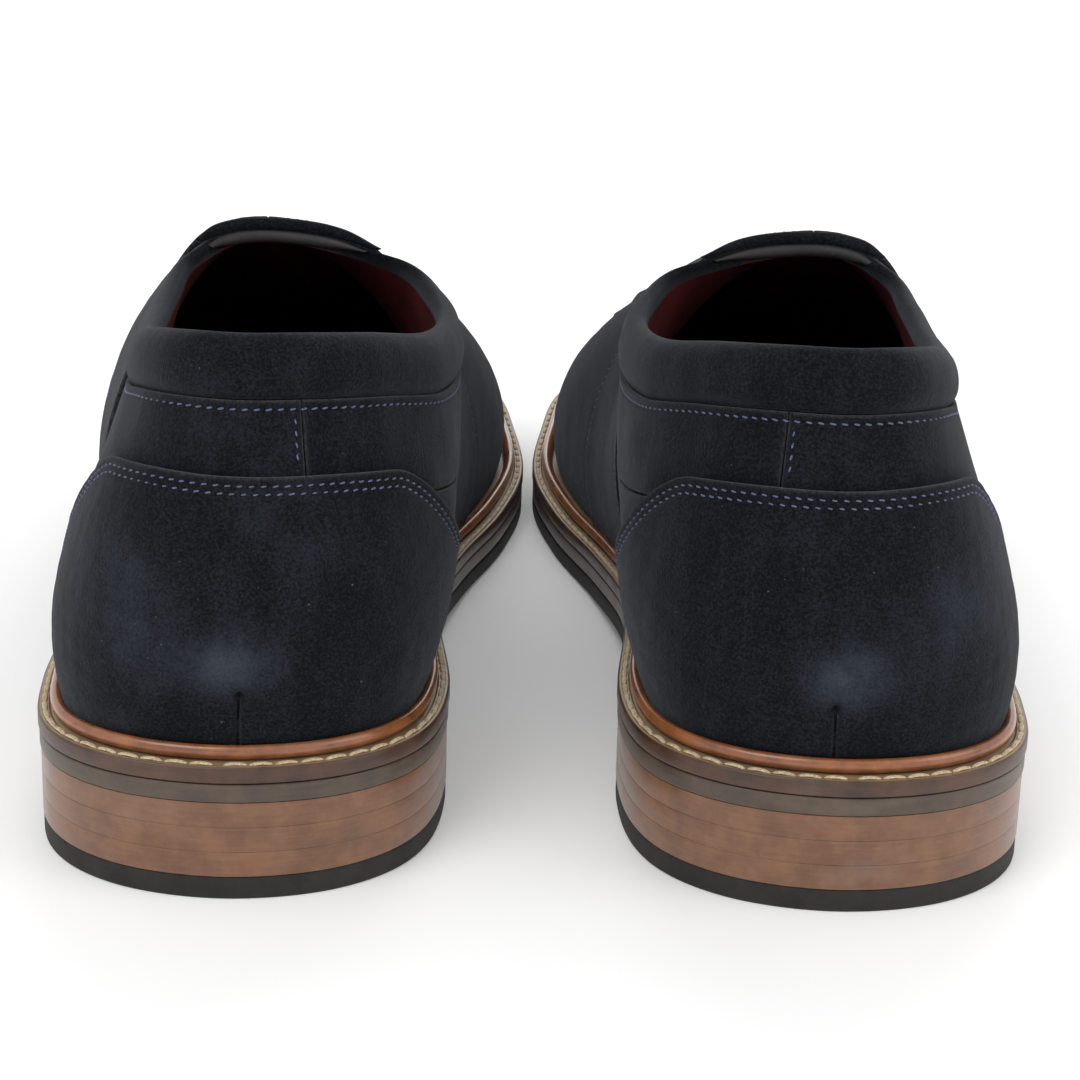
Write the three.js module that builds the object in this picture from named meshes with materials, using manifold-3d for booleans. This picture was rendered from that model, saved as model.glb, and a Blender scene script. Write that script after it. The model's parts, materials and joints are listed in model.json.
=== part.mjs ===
// A pair of penny loafers: suede uppers on a welted sole with a stacked heel.
// Millimetres, +Z up, toes along +Y. The left shoe is modelled once and mirrored about X = 0.
// Inside one shoe +X is the medial side, Y = 0 is the rear of the welt and Z = 0 is the floor.
import * as THREE from 'three';
import { mergeVertices } from 'three/addons/utils/BufferGeometryUtils.js';
import Module from 'manifold-3d';

// ---- overall sizes ----------------------------------------------------------------------
const SHOE_LENGTH = 304;
const BALL_WIDTH = 104;
const UPPER_HEIGHT = 72.2;
const PAIR_SPACING = 106.5;
const TOE_SPRING = 8;
const MODELLED_LENGTH = 304;     // sizes that the rows of the last below are drawn for
const MODELLED_WIDTH = 104;
const MODELLED_HEIGHT = 72.2;

// ---- sole layers ------------------------------------------------------------------------
const WELT_THICKNESS = 3.2;
const MIDSOLE_THICKNESS = 3.6;
const OUTSOLE_THICKNESS = 4.2;
const HEEL_STACK_HEIGHT = 13.9;
const HEEL_LIFTS = 3;
const TOP_PIECE_THICKNESS = 4.3;
const HEEL_PITCH = 0.045;
const WAIST_START = 62;          // along the shoe, where the seat starts down to the ball
const WAIST_END = 178;
const TOE_RISE_START = 195;
const TOE_RISE_POWER = 1.8;
const WELT_OVERHANG = 5.5;
const WELT_RING_WIDTH = 13;
const MIDSOLE_INSET = 0.2;
const HEEL_INSET = 0.4;
const TOP_PIECE_INSET = 0.5;
const RAND_WIDTH = 2.6;
const RAND_HEIGHT = 2.8;
const RAND_CREST_SHARE = 0.3;    // of the rand's width, level on top
const RAND_SHOULDER_SHARE = 0.5; // of its height, upright at the outer edge
const THREAD_WIDTH = 0.9;
const THREAD_HEIGHT = 0.6;
const THREAD_INSET = 0.85;

// ---- inner sole -------------------------------------------------------------------------
const INSOLE_THICKNESS = 1.8;
const INSOLE_CLEARANCE = 0.5;
const SOCK_THICKNESS = 1.6;
const SOCK_CLEARANCE = 1.0;
const SHANK_WIDTH = 14;
const SHANK_THICKNESS = 1.2;
const SHANK_START = 58;
const SHANK_END = 150;

// ---- upper leathers and seams -----------------------------------------------------------
const GAP = 0.3;                 // glue line between neighbouring pieces
const LINING_THICKNESS = 0.8;
const LAYER_GAP = 0.45;          // between the layers of the upper
const STIFFENER_THICKNESS = 0.7;
const LEATHER_THICKNESS = 1.1;
const HEEL_GRIP_THICKNESS = 0.8;
const COLLAR_DEPTH = 11;         // topline down to the band's top edge
const BAND_HEIGHT = 12.8;        // band's top edge down to the counter cover's top edge
const BAND_LAP = 4;              // band hidden under the counter cover
const COLLAR_TUCK = 3;           // collar hidden under the band
const COLLAR_PADDING = 1.4;
const PENNY_SLOT_WIDTH = 27;
const PENNY_SLOT_HEIGHT = 8.5;
const PADDED_LOW = 0.55;         // padded part of the collar, as shares of its depth
const PADDED_HIGH = 0.18;
const FOAM_TOP = 0.1;
const EDGE_MARGIN = 0.006;       // share of a rib left between two panels that meet

// ---- seam places, in stations: 0 heel centre, 12 toe tip, minus on the lateral side -------
const LAST_STATION = 12;
const APEX_STATION = 7;          // front of the topline, where the crown of the vamp starts
const BREAST_STATION = 4;
const COVER_CORNER = 1.9;
const COVER_END = 4.2;
const BAND_SEAM = 0.85;
const BAND_FRONT = 6.44;
const SEAM_HALF = 0.015;
const COLLAR_END = 6.5;
const FOAM_END = 5.5;
const LINING_END = 6.75;
const APRON_SHARE = 2 / 3;       // seam height as a share of the rib, along the sides
const APRON_CORNER = 9.9;        // where the seam is widest beside the toe
const APRON_CORNER_SPAN = 0.75;
const APRON_CORNER_DROP = 0.12;
const APRON_TIP_START = 10.3;    // from here the seam rises to its tip
const APRON_TIP_RISE = 0.175;
const QUARTER_START = 0.02;
const QUARTER_FRONT = [5.8, 0.8]; // at the feather edge, then how much further forward at the top
const STRAP_REAR = [5.2, 1.2];
const STRAP_REAR_SWEEP = [0.8, 8]; // extra near the crown, and how late it comes
const STRAP_FRONT = [6.4, 1.5];
const STRAP_FRONT_SWEEP = [0.4, 4];
const STRAP_LAP = 0.3;           // apron hidden under the strap's front edge
const TONGUE_REAR = [6.75, 4];   // at its sides, and how late it reaches the apex
const TONGUE_FRONT = [7.6, 8.4]; // at its sides and on the crown
const VAMP_GAP = 0.03;
const PADDING_FADE = [4.8, 6];
const COVER_FALL = 1.6;          // roundness of the counter cover's corner
const COVER_FOOT = 3;            // height of the counter cover's front end above the welt
const HEEL_GRIP_END = 2;
const HEEL_GRIP_SHARES = [0.3, 0.93];
const COUNTER_TOP = 0.62;
const LINING_TOP = 0.985;
const TOE_PUFF_TOP = 0.8;
const CORK_START = 6.2;
const TOE_PUFF_START = 10.2;
const COUNTER_END = 3.6;

// ---- shared grid of the upper's layers ----------------------------------------------------
const SHARE_ROWS = 6;
const LINING_ROWS = [0, 1 / 6, 1 / 3, 2 / 3, 1];
const STATION_STEP = 0.5;
const STATION_MARGIN = 0.1;
const STRAP_SIDE_ROWS = 3;
const STRAP_CROWN_ROWS = 6;
const BREAST_CLEARANCE = 0.03;

// ---- shape of a rib, as shares of its height or of its width ----------------------------------
const LOW_HANDLE = 0.3;
const HIGH_HANDLE = 0.36;
const CROWN_REACH = 0.56;
const CROWN_DROP = 0.01;
const CROWN_BLEND = 0.7;         // share above which the sides turn into the crown

// ---- last: rows from the heel to the toe ------------------------------------------------------
const along = SHOE_LENGTH / MODELLED_LENGTH;
const across = BALL_WIDTH / MODELLED_WIDTH;
const upward = UPPER_HEIGHT / MODELLED_HEIGHT;

const WELT_ROWS = [  // along, medial, lateral
  [0, 0, 0], [5, 20, -20], [19, 33.2, -33.2], [43, 37.6, -37.6], [80, 35, -38.5],
  [115, 34, -41], [150, 39, -46.5], [183, 47.5, -51.5], [213, 52, -52], [243, 50, -46],
  [272, 44.5, -37.5], [295, 28.5, -18], [304, 5, 5],
];
const TOPLINE_ROWS = [  // along, medial, lateral, height above the seat
  [16.5, 3, 3, 72.2], [19, 12, -4.5, 71.9], [29, 21.5, -11, 69.8], [46, 30, -15, 66.1],
  [70, 33, -16.5, 64.3], [91, 30.5, -16.5, 67.1], [105, 22.5, -14.2, 71.6], [112, -2, -2, 74.1],
];
const CROWN_ROWS = [  // along, across, height above the seat
  [112, -2, 74.1], [143, 0, 65.4], [178, 3, 52], [212, 4, 40.7], [236, 5, 33.5], [256, 5, 27],
];
const FORM_ROWS = [  // crown share, bulge above the feather edge, flare below the top
  [0, 9, 2], [0, 8.7, 2.2], [0, 8.6, 3.4], [0, 9.5, 4.4], [0, 8.8, 4.6], [0.05, 8, 4.5],
  [0.35, 8.3, 4.3], [0.8, 9, 5], [1, 10, 5], [1, 10, 5], [1, 9, 6], [1, 9, 6], [1, 9, 6],
];

// ---- layers of the upper, as distances outwards from the last ---------------------------------
const lining = { inner: 0, outer: LINING_THICKNESS };
const stiffener = layerOver(lining, STIFFENER_THICKNESS);
const leather = layerOver(stiffener, LEATHER_THICKNESS);
const overlay = layerOver(leather, LEATHER_THICKNESS);
const grip = { inner: -LAYER_GAP - HEEL_GRIP_THICKNESS, outer: -LAYER_GAP };
const randInner = overlay.outer + GAP;
const featherInset = WELT_OVERHANG + overlay.outer;

function layerOver(below, thickness) {
  const inner = below.outer + LAYER_GAP;
  return { inner, outer: inner + thickness };
}

// ---- curves of the last -----------------------------------------------------------------------
const UP = new THREE.Vector3(0, 0, 1);
const mix = THREE.MathUtils.lerp;
const clamp = THREE.MathUtils.clamp;

/** Closed control list from rows: up the medial side, then back down the lateral side. */
function bothSides(rows, toPoint) {
  const medial = rows.map((row) => toPoint(row, 1));
  const lateral = rows.slice(1, -1).reverse().map((row) => toPoint(row, 2));
  return [...medial, ...lateral];
}

function closedCurve(points) {
  return new THREE.CatmullRomCurve3(points, true, 'catmullrom', 0.5);
}

const weltCurve = closedCurve(bothSides(WELT_ROWS, (row, side) => (
  new THREE.Vector3(row[side] * across, row[0] * along, 0))));
const toplineCurve = closedCurve(bothSides(TOPLINE_ROWS, (row, side) => (
  overSeat(row[side] * across, row[0] * along, row[3] * upward))));
const crownCurve = new THREE.CatmullRomCurve3(CROWN_ROWS.map((row) => (
  overSeat(row[1] * across, row[0] * along, row[2] * upward))), false, 'catmullrom', 0.5);
const formCurve = closedCurve(bothSides(FORM_ROWS, (row) => new THREE.Vector3(...row)));

function smooth(value, low, high) {
  return THREE.MathUtils.smoothstep(value, low, high);
}

/** Height of the welt's top: pitched under the heel, level at the ball, rising to the toe. */
function seatHeight(y) {
  const ballHeight = WELT_THICKNESS + MIDSOLE_THICKNESS + OUTSOLE_THICKNESS;
  const heelHeight = WELT_THICKNESS + MIDSOLE_THICKNESS + HEEL_STACK_HEIGHT + TOP_PIECE_THICKNESS;
  const toBall = smooth(y, WAIST_START * along, WAIST_END * along);
  const riseStart = TOE_RISE_START * along;
  const toToe = clamp((y - riseStart) / (SHOE_LENGTH - riseStart), 0, 1);
  const heelPart = (heelHeight - HEEL_PITCH * y) * (1 - toBall);
  return heelPart + ballHeight * toBall + TOE_SPRING * toToe ** TOE_RISE_POWER;
}

function overSeat(x, y, height) {
  return new THREE.Vector3(x, y, seatHeight(y) + height);
}

/** Share of a closed curve that a signed station stands for. */
function loopShare(station, lastStation) {
  const share = station / (2 * lastStation);
  return share - Math.floor(share);
}

/** Point of the welt's outline moved inwards, with the outward direction there. */
function outlineAt(station, inset = 0) {
  const share = loopShare(station, LAST_STATION);
  const tangent = weltCurve.getTangent(share);
  const outward = new THREE.Vector3(tangent.y, -tangent.x, 0).normalize();
  const point = weltCurve.getPoint(share).addScaledVector(outward, -inset);
  return { point, outward };
}

/** Top end of a rib: on the topline behind the apex, on the crown in front of it. */
function ribTop(station) {
  const size = Math.abs(station);
  if (size <= APEX_STATION) return toplineCurve.getPoint(loopShare(station, APEX_STATION));
  return crownCurve.getPoint((size - APEX_STATION) / (LAST_STATION - APEX_STATION));
}

/** Normal of the crown, in the plane along the shoe. */
function crownNormal(station) {
  const size = Math.max(Math.abs(station), APEX_STATION);
  const tangent = crownCurve.getTangent((size - APEX_STATION) / (LAST_STATION - APEX_STATION));
  return new THREE.Vector3(0, -tangent.z, tangent.y).normalize();
}

/** Rib of the last at a station: a cubic curve from the feather edge to the top. */
function makeRib(station) {
  const { point: foot, outward } = outlineAt(station, featherInset);
  foot.z = seatHeight(foot.y);
  const top = ribTop(station);
  const form = formCurve.getPoint(loopShare(station, LAST_STATION));
  const height = top.z - foot.z;
  const low = foot.clone().addScaledVector(UP, LOW_HANDLE * height);
  low.addScaledVector(outward, form.y);
  const wallHigh = top.clone().addScaledVector(UP, -HIGH_HANDLE * height);
  wallHigh.addScaledVector(outward, form.z);
  const side = foot.clone().sub(top).setZ(0);
  const crownHigh = top.clone().addScaledVector(side, CROWN_REACH);
  crownHigh.addScaledVector(UP, -CROWN_DROP * height);
  const high = wallHigh.lerp(crownHigh, form.x);
  const curve = new THREE.CubicBezierCurve3(foot, low, high, top);
  return { outward, crown: crownNormal(station), curve };
}

const ribs = new Map();

function ribAt(station) {
  if (!ribs.has(station)) ribs.set(station, makeRib(station));
  return ribs.get(station);
}

/** Point at a share of the rib's height, moved outwards from the last by depth. */
function onLast(station, share, depth) {
  const rib = ribAt(station);
  const point = rib.curve.getPoint(share);
  const rise = rib.curve.getTangent(clamp(share, 0.002, 0.995));
  const normal = rib.outward.clone().multiplyScalar(rise.z);
  normal.addScaledVector(UP, -rise.dot(rib.outward)).normalize();
  const forward = smooth(Math.abs(station), APEX_STATION - 1, APEX_STATION);
  const nearCrown = forward * smooth(share, CROWN_BLEND, 1);
  return point.addScaledVector(normal.lerp(rib.crown, nearCrown).normalize(), depth);
}

/** Share of a rib, found by halving, where rising(share) turns positive. */
function shareWhere(rising) {
  let low = 0;
  let high = 1;
  for (let turn = 0; turn < 24; turn += 1) {
    const middle = (low + high) / 2;
    if (rising(middle) > 0) high = middle;
    else low = middle;
  }
  return high;
}

/** Share where a layer at this depth stands a height above the welt. */
function footShare(station, depth, height = GAP) {
  return shareWhere((share) => {
    const point = onLast(station, share, depth);
    return point.z - seatHeight(point.y) - height;
  });
}

/** Share that lies a distance below the top end, measured along the rib. */
function shareBelow(station, distance) {
  const steps = 60;
  const curve = ribAt(station).curve;
  let travelled = 0;
  let last = curve.getPoint(1);
  for (let step = steps - 1; step >= 0; step -= 1) {
    const point = curve.getPoint(step / steps);
    const length = point.distanceTo(last);
    if (travelled + length >= distance) {
      return (step + 1 - (distance - travelled) / length) / steps;
    }
    travelled += length;
    last = point;
  }
  return 0;
}

// ---- solids from grids --------------------------------------------------------------------------
/** Closed geometry from triangles of points: shared corners merged, faces turned outwards. */
function closedGeometry(triangles) {
  const soup = new THREE.BufferGeometry();
  soup.setAttribute('position', new THREE.Float32BufferAttribute(
    triangles.flatMap((corners) => corners.flatMap((corner) => corner.toArray())), 3));
  const merged = mergeVertices(soup, 1e-3);
  const found = merged.getIndex().array;
  const kept = [];
  for (let i = 0; i < found.length; i += 3) {
    const [a, b, c] = [found[i], found[i + 1], found[i + 2]];
    if (a !== b && b !== c && c !== a) kept.push(a, b, c);
  }
  merged.setIndex(signedVolume(merged, kept) < 0 ? kept.reverse() : kept);
  merged.computeVertexNormals();
  return merged;
}

function signedVolume(geometry, index) {
  const positions = geometry.getAttribute('position');
  const corner = (i) => new THREE.Vector3().fromBufferAttribute(positions, index[i]);
  let volume = 0;
  for (let i = 0; i < index.length; i += 3) {
    volume += corner(i).dot(corner(i + 1).cross(corner(i + 2)));
  }
  return volume;
}

function quad(triangles, a, b, c, d) {
  triangles.push([a, b, c], [a, c, d]);
}

/**
 * Sheet with a thickness. place(length, width, face) gives a point of the inner (0) or outer (1)
 * face for each listed pair. Rows that a seam line squeezes together merge into one.
 * A folded sheet runs round the toe and back, so its last row meets itself and has no wall.
 */
function sheet(place, lengths, widths, folded = false) {
  const grid = (face) => lengths.map((length) => (
    widths.map((width) => place(length, width, face))));
  const inner = grid(0);
  const outer = grid(1);
  const triangles = [];
  const end = lengths.length - 1;
  const top = widths.length - 1;
  for (let i = 0; i < end; i += 1) {
    for (let j = 0; j < top; j += 1) {
      quad(triangles, outer[i][j], outer[i + 1][j], outer[i + 1][j + 1], outer[i][j + 1]);
      quad(triangles, inner[i][j], inner[i][j + 1], inner[i + 1][j + 1], inner[i + 1][j]);
    }
    quad(triangles, inner[i][0], inner[i + 1][0], outer[i + 1][0], outer[i][0]);
    if (!folded) quad(triangles, outer[i][top], outer[i + 1][top], inner[i + 1][top], inner[i][top]);
  }
  for (let j = 0; j < top; j += 1) {
    quad(triangles, outer[0][j], outer[0][j + 1], inner[0][j + 1], inner[0][j]);
    quad(triangles, inner[end][j], inner[end][j + 1], outer[end][j + 1], outer[end][j]);
  }
  return closedGeometry(triangles);
}

/** Even steps from one value to another, both ends included. */
function evenly(from, to, steps) {
  return Array.from({ length: steps + 1 }, (_, i) => mix(from, to, i / steps));
}

/** Shared stations, closer together where the topline turns into the crown. */
const gridStations = Array.from({ length: (8 * LAST_STATION) / STATION_STEP + 1 }, (_, i) => (
  (i * STATION_STEP) / 2 - LAST_STATION)).filter((way) => (
  Number.isInteger(way / STATION_STEP) || Math.abs(Math.abs(roundToe(way)) - APEX_STATION) < 1));

/** Stations from one place to another: the shared grid's stations between, so that layers nest. */
function stationsBetween(from, to) {
  const between = gridStations.filter((station) => (
    station > from + STATION_MARGIN && station < to - STATION_MARGIN));
  return [from, ...between, to];
}

/** Station of a place on the way round the toe, from the medial side to the lateral side. */
function roundToe(way) {
  return way > LAST_STATION ? way - 2 * LAST_STATION : way;
}

/** Closed ring round the shoe whose cross-section at a station is a list of points. */
function ring(section) {
  const steps = (2 * LAST_STATION) / STATION_STEP;
  const sections = Array.from({ length: steps }, (_, i) => (
    section(roundToe((i / steps) * 2 * LAST_STATION))));
  const triangles = [];
  sections.forEach((here, i) => {
    const next = sections[(i + 1) % steps];
    here.forEach((corner, j) => {
      const after = (j + 1) % here.length;
      quad(triangles, corner, next[j], next[after], here[after]);
    });
  });
  return closedGeometry(triangles);
}

/** Level plate between two heights, spanning both sides from one station to another. */
function plate({ inset, from = 0, to = LAST_STATION, bottom, top }) {
  const place = (station, side, face) => {
    const { point } = outlineAt(side * station, inset);
    return point.setZ(face ? top(point.y) : bottom(point.y));
  };
  return sheet(place, stationsBetween(from, to), [-1, 1]);
}

// ---- upper panels ---------------------------------------------------------------------------------
const shareRows = evenly(0, 1, SHARE_ROWS);

/** Panel of one layer between two stations and two seam lines given as shares of the rib. */
function panel({ from, to, low, high, layer, rows = shareRows }) {
  return sheet((station, row, face) => {
    const depth = face ? layer.outer : layer.inner;
    const bottom = low ? low(station) : footShare(station, depth);
    return onLast(station, clamp(row, bottom, high(station)), depth);
  }, stationsBetween(from, to), rows);
}

/** Front edge of the quarters and collar, hidden under the saddle strap. */
function quarterFront(share) {
  return QUARTER_FRONT[0] + QUARTER_FRONT[1] * share;
}

function strapRear(share) {
  const [reach, late] = STRAP_REAR_SWEEP;
  return STRAP_REAR[0] + STRAP_REAR[1] * share + reach * share ** late;
}

function strapFront(share) {
  const [reach, late] = STRAP_FRONT_SWEEP;
  return STRAP_FRONT[0] + STRAP_FRONT[1] * share + reach * share ** late;
}

/** Seam of the vamp and the apron: dropped at its corners beside the toe, raised at its tip. */
function apronSeam(station) {
  const size = Math.abs(station);
  const corner = Math.exp(-(((size - APRON_CORNER) / APRON_CORNER_SPAN) ** 2));
  const tip = smooth(size, APRON_TIP_START, LAST_STATION);
  return APRON_SHARE - APRON_CORNER_DROP * corner + APRON_TIP_RISE * tip;
}

function bandTop(station) {
  return shareBelow(station, COLLAR_DEPTH);
}

function bandBottom(station) {
  return shareBelow(station, COLLAR_DEPTH + BAND_HEIGHT + BAND_LAP);
}

/** Top edge of the counter cover: level round the heel, then a rounded corner down to the welt. */
function coverTop(station) {
  const level = shareBelow(station, COLLAR_DEPTH + BAND_HEIGHT);
  const past = clamp((Math.abs(station) - COVER_CORNER) / (COVER_END - COVER_CORNER), 0, 1);
  return mix(level, footShare(station, overlay.outer, COVER_FOOT), past ** COVER_FALL);
}

function makeQuarter(side) {
  return sheet((reach, row, face) => {
    const depth = face ? leather.outer : leather.inner;
    const station = side * Math.min(reach, quarterFront(row));
    const top = bandBottom(station) - EDGE_MARGIN;
    return onLast(station, clamp(row, footShare(station, depth), top), depth);
  }, stationsBetween(QUARTER_START, quarterFront(1)), shareRows);
}

function makeCounterCover() {
  return panel({ from: -COVER_END, to: COVER_END, high: coverTop, layer: overlay });
}

function makeBand(from, to) {
  return panel({ from, to, low: bandBottom, high: bandTop, layer: leather });
}

/** Padding of the collar: full round the heel, flattened where the strap covers it. */
function paddingAt(station) {
  return COLLAR_PADDING * (1 - smooth(Math.abs(station), ...PADDING_FADE));
}

/**
 * Strip along the topline to a station on each side. A row gives its distance below the topline,
 * then the depth and the share of the padding for the inner and the outer face.
 */
function toplineStrip(end, rows) {
  return sheet((station, [below, ...faces], face) => {
    const [depth, padded] = faces[face];
    return onLast(station, shareBelow(station, below), depth + padded * paddingAt(station));
  }, stationsBetween(-end, end), rows);
}

function makeCollar() {
  const { inner, outer } = leather;
  const rolledIn = LEATHER_THICKNESS / 2;
  return toplineStrip(COLLAR_END, [
    [COLLAR_DEPTH + COLLAR_TUCK, [stiffener.inner, 0], [stiffener.outer, 0]],
    [COLLAR_DEPTH - GAP, [stiffener.inner, 0], [stiffener.outer, 0]],
    [COLLAR_DEPTH - 5 * GAP, [inner, 0], [outer, 0]],
    [COLLAR_DEPTH * PADDED_LOW, [inner, 1], [outer, 1]],
    [COLLAR_DEPTH * PADDED_HIGH, [inner, 1], [outer, 1]],
    [GAP, [inner - rolledIn, 0], [outer - rolledIn, 0]],
  ]);
}

function makeCollarFoam() {
  const { inner } = stiffener;
  const outer = leather.inner - GAP;
  return toplineStrip(FOAM_END, [
    [COLLAR_DEPTH - 7 * GAP, [inner, 0], [inner + GAP, 0]],
    [COLLAR_DEPTH * PADDED_LOW, [inner, 0], [outer, 1]],
    [COLLAR_DEPTH * PADDED_HIGH, [inner, 0], [outer, 1]],
    [COLLAR_DEPTH * FOAM_TOP, [inner, 0], [inner + GAP, 0]],
  ]);
}

function makeVamp() {
  return sheet((way, row, face) => {
    const depth = face ? leather.outer : leather.inner;
    const start = quarterFront(Math.min(row, APRON_SHARE)) + VAMP_GAP;
    const station = roundToe(clamp(way, start, 2 * LAST_STATION - start));
    const share = clamp(row, footShare(station, depth), apronSeam(station) - EDGE_MARGIN);
    return onLast(station, share, depth);
  }, stationsBetween(quarterFront(0), 2 * LAST_STATION - quarterFront(0)), shareRows);
}

/**
 * Sheet over the crown: round the toe from one rear edge to the other, up to the crown line.
 * lowest is its lowest share at the rear edge, and low gives the seam that it starts from.
 */
function overCrown({ start, lowest = 0, low, layer, rows }) {
  return sheet((way, row, face) => {
    const depth = face ? layer.outer : layer.inner;
    const edge = start(Math.max(row, lowest));
    const station = roundToe(clamp(way, edge, 2 * LAST_STATION - edge));
    return onLast(station, clamp(row, low(station, depth), 1), depth);
  }, stationsBetween(start(lowest), 2 * LAST_STATION - start(lowest)), rows, true);
}

/** Apron: its rear edge lies under the saddle strap. */
function makeApron() {
  return overCrown({
    start: (share) => strapFront(share) - STRAP_LAP,
    lowest: APRON_SHARE + EDGE_MARGIN,
    low: (station) => apronSeam(station) + EDGE_MARGIN,
    layer: leather,
    rows: shareRows,
  });
}

function makeToePuff() {
  return sheet((way, row, face) => {
    const depth = face ? stiffener.outer : stiffener.inner;
    const station = roundToe(way);
    return onLast(station, clamp(row, footShare(station, depth), TOE_PUFF_TOP), depth);
  }, stationsBetween(TOE_PUFF_START, 2 * LAST_STATION - TOE_PUFF_START), shareRows);
}

/** Band across the shoe between a rear and a front edge: up one side, over the crown, down the other. */
function crossing({ rear, front, lowest, layer, rows }) {
  const up = rows.map((row) => row - 1);
  const down = rows.slice(0, -1).reverse().map((row) => 1 - row);
  const first = Math.min(rear(lowest), rear(1));
  const last = Math.max(front(lowest), front(1));
  return sheet((climb, way, face) => {
    const depth = face ? layer.outer : layer.inner;
    const row = Math.max(1 - Math.abs(climb), lowest);
    const size = clamp(way, rear(row), front(row));
    const station = climb > 0 ? -size : size;
    return onLast(station, Math.max(row, footShare(station, depth)), depth);
  }, [...up, ...down], stationsBetween(first, last));
}

/** Tongue: from the front of the topline to under the strap and the apron. */
function makeTongue() {
  return crossing({
    rear: (share) => mix(TONGUE_REAR[0], APEX_STATION, share ** TONGUE_REAR[1]),
    front: (share) => mix(...TONGUE_FRONT, smooth(share, APRON_SHARE, 1)),
    lowest: APRON_SHARE,
    layer: stiffener,
    rows: shareRows,
  });
}

/** Saddle strap with the penny slot cut out of its middle. */
function makeStrap(wasm) {
  const band = crossing({
    rear: strapRear,
    front: strapFront,
    lowest: 0,
    layer: overlay,
    rows: [...evenly(0, 0.5, STRAP_SIDE_ROWS), ...evenly(0.5, 1, STRAP_CROWN_ROWS).slice(1)],
  });
  const half = PENNY_SLOT_WIDTH / 2;
  const slot = new THREE.Shape();
  slot.moveTo(-half, 0);
  slot.quadraticCurveTo(0, PENNY_SLOT_HEIGHT, half, 0);
  slot.quadraticCurveTo(0, -PENNY_SLOT_HEIGHT, -half, 0);
  const reach = 2 * PENNY_SLOT_HEIGHT;
  const cutter = new THREE.ExtrudeGeometry(slot, {
    depth: reach, bevelEnabled: false, curveSegments: 5,
  });
  const middle = onLast(mix(strapRear(1), strapFront(1), 0.5), 1, overlay.inner);
  cutter.translate(middle.x, middle.y, middle.z - reach / 2);
  return cut(wasm, band, cutter);
}

// ---- boolean cut ------------------------------------------------------------------------------------
function toSolid(wasm, geometry) {
  const bare = geometry.clone();
  bare.deleteAttribute('normal');
  bare.deleteAttribute('uv');
  const merged = mergeVertices(bare, 1e-3);
  return new wasm.Manifold(new wasm.Mesh({
    numProp: 3,
    vertProperties: new Float32Array(merged.getAttribute('position').array),
    triVerts: new Uint32Array(merged.getIndex().array),
  }));
}

function cut(wasm, geometry, cutter) {
  const mesh = toSolid(wasm, geometry).subtract(toSolid(wasm, cutter)).getMesh();
  const result = new THREE.BufferGeometry();
  result.setAttribute('position', new THREE.BufferAttribute(mesh.vertProperties, 3));
  result.setIndex(new THREE.BufferAttribute(mesh.triVerts, 1));
  result.computeVertexNormals();
  return result;
}

// ---- sole -----------------------------------------------------------------------------------------
const above = (offset) => (y) => seatHeight(y) + offset;
const midsoleBottom = -(WELT_THICKNESS + MIDSOLE_THICKNESS);

function outlineCorner(station, inset, height) {
  const { point } = outlineAt(station, inset);
  return point.setZ(seatHeight(point.y) + height);
}

function makeWelt() {
  return ring((station) => [
    outlineCorner(station, 0, 0),
    outlineCorner(station, WELT_RING_WIDTH, 0),
    outlineCorner(station, WELT_RING_WIDTH, -WELT_THICKNESS),
    outlineCorner(station, 0, -WELT_THICKNESS),
  ]);
}

function makeWeltThread() {
  const far = THREAD_INSET + THREAD_WIDTH;
  return ring((station) => [
    outlineCorner(station, THREAD_INSET, GAP),
    outlineCorner(station, THREAD_INSET, GAP + THREAD_HEIGHT),
    outlineCorner(station, far, GAP + THREAD_HEIGHT),
    outlineCorner(station, far, GAP),
  ]);
}

/** Rand: a bead on the welt that hugs the foot of the upper. */
function makeRand() {
  return ring((station) => {
    const foot = onLast(station, footShare(station, randInner), randInner);
    const crest = onLast(station, footShare(station, randInner, RAND_HEIGHT), randInner);
    const { outward } = outlineAt(station);
    const crestOuter = crest.clone().addScaledVector(outward, RAND_WIDTH * RAND_CREST_SHARE);
    const footOuter = outlineCorner(station, featherInset - randInner - RAND_WIDTH, GAP);
    const shoulder = footOuter.clone().addScaledVector(UP, RAND_HEIGHT * RAND_SHOULDER_SHARE);
    return [foot, crest, crestOuter, shoulder, footOuter];
  });
}

function makeHeelLift(index) {
  const boundary = (share) => (y) => (
    mix(TOP_PIECE_THICKNESS, seatHeight(y) + midsoleBottom - GAP, share));
  return plate({
    inset: HEEL_INSET,
    to: BREAST_STATION - BREAST_CLEARANCE,
    bottom: (y) => boundary(index / HEEL_LIFTS)(y) + GAP,
    top: boundary((index + 1) / HEEL_LIFTS),
  });
}

function makeShank() {
  return sheet((y, side, face) => (
    new THREE.Vector3(side * SHANK_WIDTH / 2, y, seatHeight(y) - WELT_THICKNESS + face * SHANK_THICKNESS)
  ), evenly(SHANK_START * along, SHANK_END * along, 5), [-1, 1]);
}

// ---- assembly -------------------------------------------------------------------------------------
const finishes = {
  suede: { color: 0x1b2029, roughness: 0.95 },
  lining: { color: 0x4a2226, roughness: 0.6 },
  sock: { color: 0x17161a, roughness: 0.7 },
  foam: { color: 0x8f8a80, roughness: 1 },
  board: { color: 0x9b7a52, roughness: 0.9 },
  cork: { color: 0x8a5f38, roughness: 1 },
  steel: { color: 0x8b8d90, roughness: 0.4, metalness: 1 },
  rand: { color: 0xb0643a, roughness: 0.35 },
  welt: { color: 0x6b5344, roughness: 0.6 },
  thread: { color: 0xc9b48f, roughness: 0.8 },
  midsole: { color: 0x6d655c, roughness: 0.7 },
  heel: { color: 0x9a5f38, roughness: 0.55 },
  rubber: { color: 0x2c2725, roughness: 0.8 },
};

const wasm = await Module();
wasm.setup();

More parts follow.
